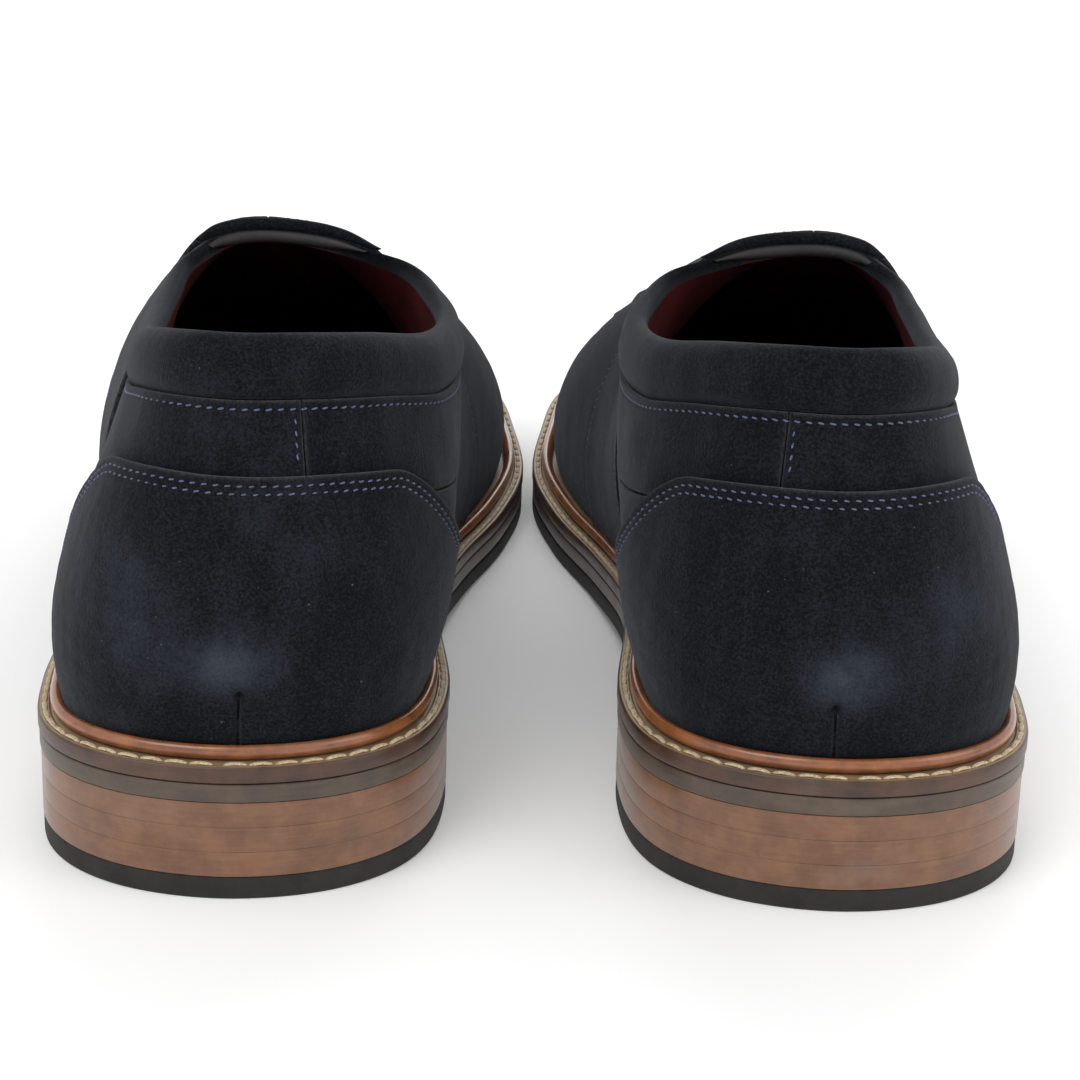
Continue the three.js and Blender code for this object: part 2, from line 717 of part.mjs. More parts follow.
const shoePieces = {
  counter_cover: [makeCounterCover(), 'suede'],
  collar_band_lateral: [makeBand(-BAND_FRONT, BAND_SEAM - SEAM_HALF), 'suede'],
  collar_band_medial: [makeBand(BAND_SEAM + SEAM_HALF, BAND_FRONT), 'suede'],
  collar: [makeCollar(), 'suede'],
  collar_foam: [makeCollarFoam(), 'foam'],
  quarter_lateral: [makeQuarter(-1), 'suede'],
  quarter_medial: [makeQuarter(1), 'suede'],
  vamp: [makeVamp(), 'suede'],
  apron: [makeApron(), 'suede'],
  tongue: [makeTongue(), 'suede'],
  saddle_strap: [makeStrap(wasm), 'suede'],
  vamp_lining: [overCrown({
    start: () => APEX_STATION + VAMP_GAP, low: footShare, layer: lining, rows: LINING_ROWS,
  }), 'lining'],
  quarter_lining: [panel({
    from: -LINING_END, to: LINING_END, high: () => LINING_TOP, layer: lining,
  }), 'lining'],
  heel_grip: [panel({
    from: -HEEL_GRIP_END,
    to: HEEL_GRIP_END,
    low: () => HEEL_GRIP_SHARES[0],
    high: () => HEEL_GRIP_SHARES[1],
    layer: grip,
  }), 'lining'],
  counter_stiffener: [panel({
    from: -COUNTER_END, to: COUNTER_END, high: () => COUNTER_TOP, layer: stiffener,
  }), 'board'],
  toe_puff: [makeToePuff(), 'board'],
  sock: [plate({
    inset: featherInset + SOCK_CLEARANCE,
    bottom: above(2 * GAP + INSOLE_THICKNESS),
    top: above(2 * GAP + INSOLE_THICKNESS + SOCK_THICKNESS),
  }), 'sock'],
  insole_board: [plate({
    inset: featherInset + INSOLE_CLEARANCE, bottom: above(GAP), top: above(GAP + INSOLE_THICKNESS),
  }), 'board'],
  cork_filler: [plate({
    inset: WELT_RING_WIDTH + GAP, from: CORK_START, bottom: above(-WELT_THICKNESS), top: above(0),
  }), 'cork'],
  shank: [makeShank(), 'steel'],
  rand: [makeRand(), 'rand'],
  welt_thread: [makeWeltThread(), 'thread'],
  welt: [makeWelt(), 'welt'],
  midsole: [plate({
    inset: MIDSOLE_INSET, bottom: above(midsoleBottom), top: above(-WELT_THICKNESS - GAP),
  }), 'midsole'],
  outsole: [plate({
    inset: MIDSOLE_INSET,
    from: BREAST_STATION + BREAST_CLEARANCE,
    bottom: above(midsoleBottom - OUTSOLE_THICKNESS),
    top: above(midsoleBottom - GAP),
  }), 'rubber'],
  heel_top_piece: [plate({
    inset: TOP_PIECE_INSET,
    to: BREAST_STATION - BREAST_CLEARANCE,
    bottom: () => 0,
    top: () => TOP_PIECE_THICKNESS,
  }), 'rubber'],
};
for (let lift = 0; lift < HEEL_LIFTS; lift += 1) {
  shoePieces[`heel_lift_${lift + 1}`] = [makeHeelLift(lift), 'heel'];
}

function makeShoe(side) {
  const shoe = new THREE.Group();
  Object.entries(shoePieces).forEach(([name, [geometry, finish]]) => {
    const piece = new THREE.Mesh(geometry, new THREE.MeshStandardMaterial(finishes[finish]));
    piece.name = `${side}_${name}`;
    shoe.add(piece);
  });
  const sign = side === 'left' ? -1 : 1;
  shoe.position.set((sign * PAIR_SPACING) / 2, -SHOE_LENGTH / 2, 0);
  shoe.scale.x = -sign;
  return shoe;
}

const group = new THREE.Group();
group.add(makeShoe('left'), makeShoe('right'));

export default group;
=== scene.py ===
"""A pair of penny loafers: suede uppers, stitched welts and stacked heels.

Shapes are worked out in millimetres in the frame of one shoe (medial side +X, toe +Y, floor Z = 0) and
then set in their places in the pair, in metres. The right shoe is the left one mirrored.
"""
import json

import bmesh
import bpy
import numpy as np
from mathutils import Matrix


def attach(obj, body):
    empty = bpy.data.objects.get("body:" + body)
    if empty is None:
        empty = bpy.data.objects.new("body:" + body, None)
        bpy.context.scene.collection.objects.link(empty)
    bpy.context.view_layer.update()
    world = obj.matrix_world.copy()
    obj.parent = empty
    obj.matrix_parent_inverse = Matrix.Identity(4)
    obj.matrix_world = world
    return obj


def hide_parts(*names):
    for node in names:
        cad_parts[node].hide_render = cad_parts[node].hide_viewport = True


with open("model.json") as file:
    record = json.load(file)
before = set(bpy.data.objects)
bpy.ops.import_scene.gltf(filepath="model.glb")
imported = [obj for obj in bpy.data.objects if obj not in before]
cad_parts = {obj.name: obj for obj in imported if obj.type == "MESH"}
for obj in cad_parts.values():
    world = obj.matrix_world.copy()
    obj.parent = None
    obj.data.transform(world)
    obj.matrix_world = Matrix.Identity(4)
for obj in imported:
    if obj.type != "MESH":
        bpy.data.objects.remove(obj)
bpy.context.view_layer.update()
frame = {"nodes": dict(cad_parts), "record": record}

# ---- sizes, in millimetres ---------------------------------------------------------------------
MM = 0.001
SHOE_LENGTH = 304.0
HALF_PAIR = 53.25
WELT, MIDSOLE, OUTSOLE = 3.2, 3.6, 4.2
HEEL_STACK, TOP_PIECE = 13.9, 4.3
HEEL_LIFTS = 3
SEAT_HEEL = WELT + MIDSOLE + HEEL_STACK + TOP_PIECE
SEAT_BALL = WELT + MIDSOLE + OUTSOLE
HEEL_PITCH = 0.045
WAIST_START, WAIST_END = 62, 178
TOE_SPRING, TOE_RISE_START, TOE_RISE_POWER = 8.0, 195, 1.8
SOLE_BOTTOM = -(WELT + MIDSOLE)
LINING_IN, LINING_OUT = 0.0, 0.8
STIFF_IN, STIFF_OUT = 1.25, 1.95
LEATHER_IN, LEATHER_OUT = 2.4, 3.5
OVERLAY_IN, OVERLAY_OUT = 3.95, 5.05
RAND_INNER = 5.35
FEATHER_INSET = 10.55
COLLAR_DEPTH, BAND_HEIGHT, BAND_LAP = 11.0, 12.8, 4.0
APEX, TOE = 7, 12
COVER_CORNER, COVER_END = 1.9, 4.2
BAND_SEAM = 0.85
COLLAR_END = 6.45
BREAST = 4.0
APRON_SHARE, APRON_GAP = 2 / 3, 0.006
RAND_WIDTH, RAND_HEIGHT = 2.6, 2.8
DART_ACROSS, DART_TOP, DART_SHARE = 2.8, 37.0, 0.12
LOW_HANDLE, HIGH_HANDLE = 0.3, 0.36
CROWN_REACH, CROWN_DROP, CROWN_BLEND = 0.56, 0.01, 0.7
EDGE_RADIUS, STRAP_RADIUS, RAW_WIDTH = 0.28, 0.35, 0.5
UP = np.array([0.0, 0.0, 1.0])

# ---- last: rows from the heel to the toe ---------------------------------------------------------
WELT_ROWS = np.array([  # along, medial, lateral
    [0, 0, 0], [5, 20, -20], [19, 33.2, -33.2], [43, 37.6, -37.6], [80, 35, -38.5],
    [115, 34, -41], [150, 39, -46.5], [183, 47.5, -51.5], [213, 52, -52], [243, 50, -46],
    [272, 44.5, -37.5], [295, 28.5, -18], [304, 5, 5]], float)
TOPLINE_ROWS = np.array([  # along, medial, lateral, height above the seat
    [16.5, 3, 3, 72.2], [19, 12, -4.5, 71.9], [29, 21.5, -11, 69.8], [46, 30, -15, 66.1],
    [70, 33, -16.5, 64.3], [91, 30.5, -16.5, 67.1], [105, 22.5, -14.2, 71.6], [112, -2, -2, 74.1]], float)
CROWN_ROWS = np.array([  # along, across, height above the seat
    [112, -2, 74.1], [143, 0, 65.4], [178, 3, 52], [212, 4, 40.7], [236, 5, 33.5], [256, 5, 27]],
    float)
FORM_ROWS = np.array([  # crown share, bulge above the feather edge, flare below the top
    [0, 9, 2], [0, 8.7, 2.2], [0, 8.6, 3.4], [0, 9.5, 4.4], [0, 8.8, 4.6], [0.05, 8, 4.5],
    [0.35, 8.3, 4.3], [0.8, 9, 5], [1, 10, 5], [1, 10, 5], [1, 9, 6], [1, 9, 6], [1, 9, 6]], float)


def mix(a, b, t):
    """Straight line from a to b as t goes from 0 to 1."""
    return a + (b - a) * t


def smooth(value, low, high):
    """0 below low, 1 above high and three squares less two cubes between."""
    t = np.clip((value - low) / (high - low), 0, 1)
    return t * t * (3 - 2 * t)


def unit(vectors):
    """Vectors over their own lengths."""
    return vectors / np.maximum(np.linalg.norm(vectors, axis=-1, keepdims=True), 1e-12)


def seat(y):
    """Height of the welt's top: pitched under the heel, level at the ball, rising to the toe."""
    ball = smooth(y, WAIST_START, WAIST_END)
    toe = np.clip((y - TOE_RISE_START) / (SHOE_LENGTH - TOE_RISE_START), 0, 1)
    rise = TOE_SPRING * toe ** TOE_RISE_POWER
    return (SEAT_HEEL - HEEL_PITCH * y) * (1 - ball) + SEAT_BALL * ball + rise


def both_sides(rows, medial, lateral):
    """Closed list of control points: up the medial side, then back down the lateral side."""
    return np.vstack([rows[:, medial], rows[-2:0:-1, lateral]])


def spline(points, place, closed):
    """Points on an even Catmull-Rom curve and its direction: place counts control points. An open
    curve has one more point at each end, its last span carried on."""
    count = len(points)
    place = place % count if closed else np.clip(place, 0, count - 1)
    first = (np.floor(place) if closed else np.minimum(np.floor(place), count - 2)).astype(int)
    t = (place - first)[..., None]
    if closed:
        p0, p1, p2, p3 = (points[(first + k) % count] for k in (-1, 0, 1, 2))
    else:
        longer = np.vstack([2 * points[0] - points[1], points, 2 * points[-1] - points[-2]])
        p0, p1, p2, p3 = (longer[first + k] for k in (0, 1, 2, 3))
    a, b, c = 2 * p0 - 5 * p1 + 4 * p2 - p3, 3 * (p1 - p2) + p3 - p0, p2 - p0
    point = p1 + 0.5 * t * (c + t * (a + t * b))
    slope = 0.5 * (c + t * (2 * a + t * 3 * b))
    return point, slope


WELT_LOOP = both_sides(WELT_ROWS, [1, 0], [2, 0])
TOPLINE_LOOP = both_sides(TOPLINE_ROWS, [1, 0, 3], [2, 0, 3])
TOPLINE_LOOP[:, 2] += seat(TOPLINE_LOOP[:, 1])
CROWN_LINE = CROWN_ROWS[:, [1, 0, 2]].copy()
CROWN_LINE[:, 2] += seat(CROWN_LINE[:, 1])
FORM_LOOP = both_sides(FORM_ROWS, [0, 1, 2], [0, 1, 2])


def outline(station, inset=0.0):
    """Welt's outline moved inwards square to itself, and the outward direction there."""
    flat, slope = spline(WELT_LOOP, np.asarray(station, float), True)
    outward = unit(np.stack([slope[..., 1], -slope[..., 0], 0 * slope[..., 0]], -1))
    level_point = np.concatenate([flat, 0 * flat[..., :1]], -1)
    return level_point - outward * np.asarray(inset, float)[..., None], outward


def on_outline(station, inset, height):
    """Point at an inset from the welt's outline and a height over the seat."""
    station, inset, height = np.broadcast_arrays(station, inset, height)
    point, _ = outline(station, inset)
    point[..., 2] = seat(point[..., 1]) + height
    return point


def rib(station):
    """Controls of the cubic that runs from the feather edge up to the topline or the crown."""
    station = np.asarray(station, float)
    size = np.abs(station)
    foot, outward = outline(station, FEATHER_INSET)
    foot[..., 2] = seat(foot[..., 1])
    crown, crown_slope = spline(CROWN_LINE, np.maximum(size - APEX, 0), False)
    topline, _ = spline(TOPLINE_LOOP, np.clip(station, -APEX, APEX), True)
    top = np.where((size <= APEX)[..., None], topline, crown)
    form, _ = spline(FORM_LOOP, station, True)
    height = (top - foot)[..., 2:]
    low = foot + UP * LOW_HANDLE * height + outward * form[..., 1:2]
    side = (foot - top) * [1, 1, 0]
    wall = top - UP * HIGH_HANDLE * height + outward * form[..., 2:3]
    over = top + side * CROWN_REACH - UP * CROWN_DROP * height
    high = mix(wall, over, form[..., 0:1])
    crown_normal = unit(np.stack([0 * size, -crown_slope[..., 2], crown_slope[..., 1]], -1))
    return foot, low, high, top, outward, crown_normal


SLOPE_SHARES = (0.002, 0.995)


def on_last(station, share, depth):
    """Point on the last at a share of a rib, moved out square to it by depth."""
    station, share, depth = np.broadcast_arrays(np.asarray(station, float), share, depth)
    foot, low, high, top, outward, crown_normal = rib(station)
    t = share[..., None]
    point = foot * (1 - t) ** 3 + 3 * low * t * (1 - t) ** 2 + 3 * high * t * t * (1 - t) + top * t ** 3
    c = np.clip(t, *SLOPE_SHARES)
    rise = unit((low - foot) * (1 - c) ** 2 + 2 * (high - low) * c * (1 - c) + (top - high) * c * c)
    normal = unit(outward * rise[..., 2:] - UP * np.sum(rise * outward, -1, keepdims=True))
    crown = (smooth(np.abs(station), APEX - 1, APEX) * smooth(share, CROWN_BLEND, 1))[..., None]
    return point + unit(mix(normal, crown_normal, crown)) * depth[..., None]


# ---- measures along a rib ------------------------------------------------------------------------
STEPS = 160
SHARES = np.linspace(1, 0, STEPS + 1)


def crossing_of(table, wanted):
    """Place, counted in columns, where each row of a rising table reaches the wanted value."""
    shape = np.broadcast_shapes(table.shape[:-1], np.shape(wanted))
    table = np.broadcast_to(table, (*shape, table.shape[-1]))
    wanted = np.broadcast_to(wanted, shape)[..., None]
    after = np.clip((table < wanted).sum(-1, keepdims=True), 1, table.shape[-1] - 1)
    low, high = np.take_along_axis(table, after - 1, -1), np.take_along_axis(table, after, -1)
    part = np.clip((wanted - low) / np.maximum(high - low, 1e-9), 0, 1)
    return (after - 1 + part)[..., 0]


def rib_lengths(station):
    """Distance below the top end at each step down the rib, summed over short chords."""
    points = on_last(np.asarray(station, float)[..., None], SHARES, 0.0)
    chords = np.linalg.norm(np.diff(points, axis=-2), axis=-1)
    return np.concatenate([0 * chords[..., :1], np.cumsum(chords, -1)], -1)


def share_below(station, distance):
    """Share that lies a distance below the top end of the rib."""
    return 1 - crossing_of(rib_lengths(station), distance) / STEPS


def distance_below(station, share):
    """Distance from the top end down to a share."""
    table = rib_lengths(station)
    place = np.clip((1 - share) * STEPS, 0, STEPS - 1e-6)
    first = np.floor(place).astype(int)[..., None]
    low, high = np.take_along_axis(table, first, -1), np.take_along_axis(table, first + 1, -1)
    return mix(low[..., 0], high[..., 0], place - first[..., 0])


def foot_share(station, depth, height=0.3):
    """Share where a layer at this depth stands a height above the welt."""
    rising = SHARES[::-1]
    station, depth = np.asarray(station, float)[..., None], np.asarray(depth, float)[..., None]
    points = on_last(station, rising, depth)
    return crossing_of(points[..., 2] - seat(points[..., 1]), height) / STEPS


# ---- seam lines ----------------------------------------------------------------------------------
QUARTER_FRONT, QUARTER_SWEEP = 5.8, 0.8
STRAP_REAR, STRAP_REAR_SWEEP, STRAP_REAR_TURN = 5.2, 1.15, 0.7
STRAP_FRONT, STRAP_FRONT_SWEEP, STRAP_FRONT_TURN = 6.4, 1.5, 0.4
APRON_CORNER, CORNER_WIDTH, CORNER_DROP = 9.9, 0.75, 0.12
TOE_RISE, TOE_RISE_FROM = 0.175, 10.3
TIP_RISE, TIP_FROM = 0.075, 11.2
COVER_ROUNDNESS, COVER_FOOT = 1.6, 3


def quarter_front(share):
    """Front edge of a quarter: its station grows evenly up the rib."""
    return QUARTER_FRONT + QUARTER_SWEEP * share


def strap_rear(share):
    """Rear edge of the strap: an even sweep, with a turn forward close to the topline."""
    return STRAP_REAR + STRAP_REAR_SWEEP * share + STRAP_REAR_TURN * share ** 60


def strap_front(share):
    """Front edge of the strap: an even sweep, with a fourth-power turn forward over the crown."""
    return STRAP_FRONT + STRAP_FRONT_SWEEP * share + STRAP_FRONT_TURN * share ** 4


def bell(value, centre, width):
    """Bell curve: e to the minus square of the distance from the centre over the width."""
    return np.exp(-((value - centre) / width) ** 2)


def apron_seam(station):
    """Seam of the vamp and the apron: dropped by a bell at its corners, raised towards the toe and
    raised once more, by a cube, at its tip."""
    size = np.abs(station)
    tip = np.clip((size - TIP_FROM) / (TOE - TIP_FROM), 0, 1) ** 3
    rise = TOE_RISE * smooth(size, TOE_RISE_FROM, TOE) + TIP_RISE * tip
    return APRON_SHARE - CORNER_DROP * bell(size, APRON_CORNER, CORNER_WIDTH) + rise


def band_top(station):
    """Seam of the collar and the band, an even distance below the topline."""
    return share_below(station, COLLAR_DEPTH)


def band_bottom(station):
    """Lower edge of the band, hidden under the counter cover."""
    return share_below(station, COLLAR_DEPTH + BAND_HEIGHT + BAND_LAP)


def cover_top(station):
    """Top edge of the counter cover: level round the heel, then a rounded corner to the welt."""
    past = np.clip((np.abs(station) - COVER_CORNER) / (COVER_END - COVER_CORNER), 0, 1)
    level_edge = share_below(station, COLLAR_DEPTH + BAND_HEIGHT)
    return mix(level_edge, foot_share(station, OVERLAY_OUT, COVER_FOOT), past ** COVER_ROUNDNESS)


def round_toe(way):
    """Station on the way from the medial side round the toe to the lateral side."""
    return np.where(way > TOE, way - 2 * TOE, way)


# ---- meshes --------------------------------------------------------------------------------------
def grid_faces(rows, columns, start=0):
    """Quads of a grid numbered row by row."""
    i, j = np.meshgrid(np.arange(rows - 1), np.arange(columns - 1), indexing="ij")
    a = (start + i * columns + j).ravel()
    return np.stack([a, a + columns, a + columns + 1, a + 1], -1)


def band_faces(one, other):
    """Quads between two lists of vertices of the same length."""
    return np.stack([one[:-1], one[1:], other[1:], other[:-1]], -1)


def shell(outer, inner, meets_itself=False):
    """Closed sheet: two grids joined by walls along their sides, but for the last column of one
    that meets itself along the crown."""
    rows, columns = outer.shape[:2]
    count = rows * columns
    number = np.arange(count).reshape(rows, columns)
    sides = [number[0], number[-1, ::-1], number[::-1, 0]]
    if not meets_itself:
        sides.insert(1, number[:, -1])
    walls = [band_faces(side, side + count) for side in sides]
    back = grid_faces(rows, columns, count)[:, ::-1]
    points = np.vstack([outer.reshape(-1, 3), inner.reshape(-1, 3)])
    return points, np.vstack([grid_faces(rows, columns), back, *walls])


def tube(loops, closed_path):
    """Closed profile carried along a path: loops are rows of points. Open ends get a fan."""
    rows, columns = loops.shape[:2]
    wide = np.concatenate([loops, loops[:, :1]], 1)
    wide = np.concatenate([wide, wide[:1]], 0) if closed_path else wide
    if not closed_path:
        ends = [np.broadcast_to(wide[k].mean(0), wide[k].shape)[None] for k in (0, -1)]
        wide = np.concatenate([ends[0], wide, ends[1]], 0)
    return wide.reshape(-1, 3), grid_faces(*wide.shape[:2])


def signed_volume(points, faces):
    """Six times the volume: the sum of a . (b x c) over the fan triangles of each quad."""
    a, b, c, d = (points[faces[:, k]] for k in range(4))
    return np.sum(a * np.cross(b, c)) + np.sum(a * np.cross(c, d))


WELD = 0.004 * MM


def make_piece(name, points, faces, finish, side, marks, flat_angle):
    """Mesh object of one shoe: points in the shoe's frame are set in the pair, doubles merged; marks
    holds the measures its finish reads, if it has any."""
    sign = -1.0 if side == "left" else 1.0
    across, along = sign * (HALF_PAIR - points[:, 0]), points[:, 1] - SHOE_LENGTH / 2
    placed = np.stack([across, along, points[:, 2]], -1) * MM
    if signed_volume(placed, faces) < 0:
        faces = faces[:, ::-1]
    mesh = bpy.data.meshes.new(f"{side}_{name}")
    mesh.from_pydata(placed.tolist(), [], faces.tolist())
    for label, values in (pair for measures in marks for pair in measures.items()):
        attribute = mesh.attributes.new(label, "FLOAT", "POINT")
        attribute.data.foreach_set("value", values.astype(np.float32).ravel())
    work = bmesh.new()
    work.from_mesh(mesh)
    bmesh.ops.remove_doubles(work, verts=work.verts, dist=WELD)
    bmesh.ops.dissolve_degenerate(work, edges=work.edges, dist=WELD / 2)
    work.to_mesh(mesh)
    work.free()
    mesh.shade_smooth()
    if flat_angle:
        mesh.set_sharp_from_angle(angle=np.radians(flat_angle))
    mesh.materials.append(finish)
    piece = bpy.data.objects.new(f"{side}_{name}", mesh)
    bpy.context.scene.collection.objects.link(piece)
    return piece


def spread(count, length, rim, extra=()):
    """Even places from 0 to 1 with closer ones at both ends for the rounded edge, and more where asked."""
    close = np.array([0, 0.12, 0.35, 0.65, 1.0, 1.6]) * rim / length
    inner = np.linspace(close[-1], 1 - close[-1], count)[1:-1]
    places = np.concatenate([close, inner, 1 - close, np.asarray(extra, float)])
    return np.unique(np.round(places, 7))


def rounding(distance, rim):
    """Drop of a rounded edge: a quarter circle of radius rim within rim of the edge."""
    near = np.clip(distance / rim, 0, 1)
    return rim * (1 - np.sqrt(1 - (1 - near) ** 2))


def to_ends(place, length):
    """Distance from a place between 0 and 1 to the nearer end of a length."""
    return np.minimum(place, 1 - place) * length


def nearest(points, line):
    """Distance from each point to the nearest point of a line of close points."""
    flat = points.reshape(-1, 3)
    parts = np.array_split(flat, 1 + len(flat) // 4000)
    gaps = [np.sqrt(((part[:, None] - line[None]) ** 2).sum(-1)).min(1) for part in parts]
    return np.concatenate(gaps).reshape(points.shape[:-1])


def ripples(points, size, seed, count=7):
    """Soft unevenness from -1 to 1: a sum of sine waves of about one size in seeded directions."""
    draw = np.random.default_rng(seed)
    waves = unit(draw.normal(size=(count, 3))) * 2 * np.pi / (size * draw.uniform(0.7, 1.5, (count, 1)))
    phases = draw.uniform(0, 2 * np.pi, count)
    return np.sin(points @ waves.T + phases).sum(-1) / np.sqrt(count) / 1.5


def uneven(points, *layers):
    """Sum of ripples, each given by its height, its size and its seed."""
    return sum(height * ripples(points, size, seed) for height, size, seed in layers)


def panel(place, sizes, counts, layer, relief, rim=EDGE_RADIUS, extra=()):
    """Sheet of leather with rounded cut edges. place turns two even parameters into a station and a
    share; the outer face lies at the layer's outer depth less the rounding, plus the relief."""
    a = spread(counts[0], sizes[0], rim, extra)[:, None]
    b = spread(counts[1], sizes[1], rim)[None, :]
    a, b = np.broadcast_arrays(a, b)
    station, share = place(a, b)
    to_a, to_b = to_ends(a, sizes[0]), to_ends(b, sizes[1])
    drop = np.minimum(rounding(to_a, rim) + rounding(to_b, rim), layer[1] - layer[0])
    flat = on_last(station, share, layer[1])
    outer = on_last(station, share, layer[1] - drop + relief(flat, station, a, b))
    inner = on_last(station, share, np.full(share.shape, layer[0]))
    raw = np.clip(1 - np.minimum(to_a, to_b) / RAW_WIDTH, 0, 1)
    return *shell(outer, inner), {"raw": np.concatenate([raw.ravel(), np.ones(share.size)])}


# ---- stitches ------------------------------------------------------------------------------------
def row_points(line, pitch):
    """Even places along a line of close points, with the direction there."""
    lengths = np.concatenate([[0], np.cumsum(np.linalg.norm(np.diff(line, axis=0), axis=1))])
    places = np.arange(pitch / 2, lengths[-1] - pitch / 2, pitch)
    at = np.stack([np.interp(places, lengths, line[:, k]) for k in range(3)], -1)
    ahead = np.stack([np.interp(places + 0.3, lengths, line[:, k]) for k in range(3)], -1)
    return at, unit(ahead - at)


def stitches(line, normals, pitch, size, slant, sink, sides=6):
    """Thread lying on a line: each stitch is a capsule, its girth the root of one less the fourth
    power along it, bowed up by a half sine and turned about the surface's normal by the slant."""
    centre, along = row_points(line, pitch)
    length, width, height = size
    normal = normals(centre)
    along = unit(along - normal * np.sum(along * normal, -1, keepdims=True))
    across = np.cross(normal, along)
    c, s = np.cos(slant), np.sin(slant)
    along, across = along * c + across * s, across * c - along * s
    t = np.linspace(-1, 1, sides + 1)[:, None]
    around = np.linspace(0, 2 * np.pi, sides + 1)[None, :]
    girth = np.sqrt(np.maximum(1 - t ** 4, 0)) * 0.98
    bow = (np.cos(t * np.pi / 2) - 0.5) * height / 2
    shape = np.stack([
        (t + 0 * around) * length / 2,
        girth * np.cos(around) * width / 2,
        girth * np.sin(around) * height / 2 + bow - sink], -1)
    local = shape.reshape(-1, 3)
    axes = np.stack([along, across, normal], 1)
    points = centre[:, None] + np.einsum("pk,nkc->npc", local, axes)
    one = grid_faces(sides + 1, sides + 1)
    faces = (one[None] + (np.arange(len(centre)) * len(local))[:, None, None]).reshape(-1, 4)
    return points.reshape(-1, 3), faces


def join(parts):
    """Several meshes as one list of points and one of faces."""
    offsets = np.cumsum([0] + [len(points) for points, _ in parts[:-1]])
    return np.vstack([p for p, _ in parts]), np.vstack([f + k for (_, f), k in zip(parts, offsets)])


def normals_near(station, share):
    """Function that gives the last's outward direction at the nearest of the listed places."""
    base = on_last(station, share, 3.0)
    ahead = unit(on_last(station, share, 4.0) - base)

    def at(points):
        closest = np.array([((base - p) ** 2).sum(-1).argmin() for p in points])
        return ahead[closest]
    return at


def parallel_row(station, share, distance):
    """Share of a line at an even distance below an edge: the distance along the rib is the one
    square to the edge over the sine of the angle between the edge and the rib."""
    edge = on_last(station, share, OVERLAY_OUT)
    along = unit(np.gradient(edge, axis=0))
    rise = unit(edge - on_last(station, share - 0.01, OVERLAY_OUT))
    sine = np.linalg.norm(np.cross(along, rise), axis=-1)
    return share_below(station, distance_below(station, share) + distance / np.maximum(sine, 0.3))


# ---- finishes ------------------------------------------------------------------------------------
class Value:
    """A shader socket that can be used in Python sums: each operator adds a Math node."""

    def __init__(self, finish, socket):
        self.finish = finish
        self.socket = socket

    def maths(self, operation, *others):
        operands = dict(enumerate((self, *others)))
        return self.finish.node("ShaderNodeMath", {"operation": operation}, operands)

    def __add__(self, other):
        return self.maths("ADD", other)

    def __sub__(self, other):
        return self.maths("SUBTRACT", other)

    def __rsub__(self, other):
        return self.maths("MULTIPLY", -1.0) + other

    def __mul__(self, other):
        return self.maths("MULTIPLY", other)

    __radd__, __rmul__ = __add__, __mul__

    def ramp(self, low, high, smooth_step=True):
        """From 0 at low to 1 at high."""
        kind = "SMOOTHSTEP" if smooth_step else "LINEAR"
        return self.finish.node("ShaderNodeMapRange", {"interpolation_type": kind, "clamp": True},
                                {"Value": self, "From Min": low, "From Max": high})


class Finish:
    """A procedural material around one Principled shader."""

    def __init__(self, name, **fixed):
        self.material = bpy.data.materials.new(name)
        self.material.use_nodes = True
        self.tree = self.material.node_tree
        self.shader = next(n for n in self.tree.nodes if n.type == "BSDF_PRINCIPLED")
        for socket, value in fixed.items():
            self.shader.inputs[socket.replace("_", " ")].default_value = value
        self.place = self.node("ShaderNodeTexCoord", {}, {}, "Object")

    def node(self, kind, settings, values, output=0):
        """Any node: its settings first, then values or links for its sockets."""
        made = self.tree.nodes.new(kind)
        for key, value in settings.items():
            setattr(made, key, value)
        for key, value in values.items():
            if isinstance(value, Value):
                self.tree.links.new(value.socket, made.inputs[key])
            else:
                made.inputs[key].default_value = value
        return Value(self, made.outputs[output])

    def stretched(self, x, y, z):
        """Object coordinates scaled along each axis: a small scale draws a pattern out."""
        return self.node("ShaderNodeMapping", {}, {"Vector": self.place, "Scale": (x, y, z)})

    def noise(self, size, detail=3.0, roughness=0.55, place=None):
        """Noise whose features are about size millimetres across."""
        values = {"Vector": place or self.place, "Scale": 1.0 / (size * MM), "Detail": detail,
                  "Roughness": roughness}
        return self.node("ShaderNodeTexNoise", {}, values)

    def blend(self, factor, one, other):
        """Colour between one and the other."""
        made = self.tree.nodes.new("ShaderNodeMix")
        made.data_type = "RGBA"
        for key, value in ((0, factor), (6, one), (7, other)):
            if isinstance(value, Value):
                self.tree.links.new(value.socket, made.inputs[key])
            else:
                made.inputs[key].default_value = (*value, 1.0) if key else value
        return Value(self, made.outputs[2])

    def attribute(self, name):
        """A piece's own measure, from 0 to 1; 0 on a piece that has none of that name."""
        return self.node("ShaderNodeAttribute", {"attribute_name": name}, {}, "Fac")

    def bump(self, height, distance, strength):
        """Normal tilted by a height that spans the distance in millimetres."""
        values = {"Height": height, "Distance": distance * MM, "Strength": strength}
        return self.node("ShaderNodeBump", {}, values)

    def done(self, **linked):
        """Link what changes over the surface to the shader's sockets."""
        for socket, value in linked.items():
            self.tree.links.new(value.socket, self.shader.inputs[socket.replace("_", " ")])
        return self.material


def shade(red, green, blue):
    """Linear colour of a shade given in the usual 0 to 255."""
    return tuple(c / 255 / 12.92 if c <= 10.3 else ((c / 255 + 0.055) / 1.055) ** 2.4
                 for c in (red, green, blue))


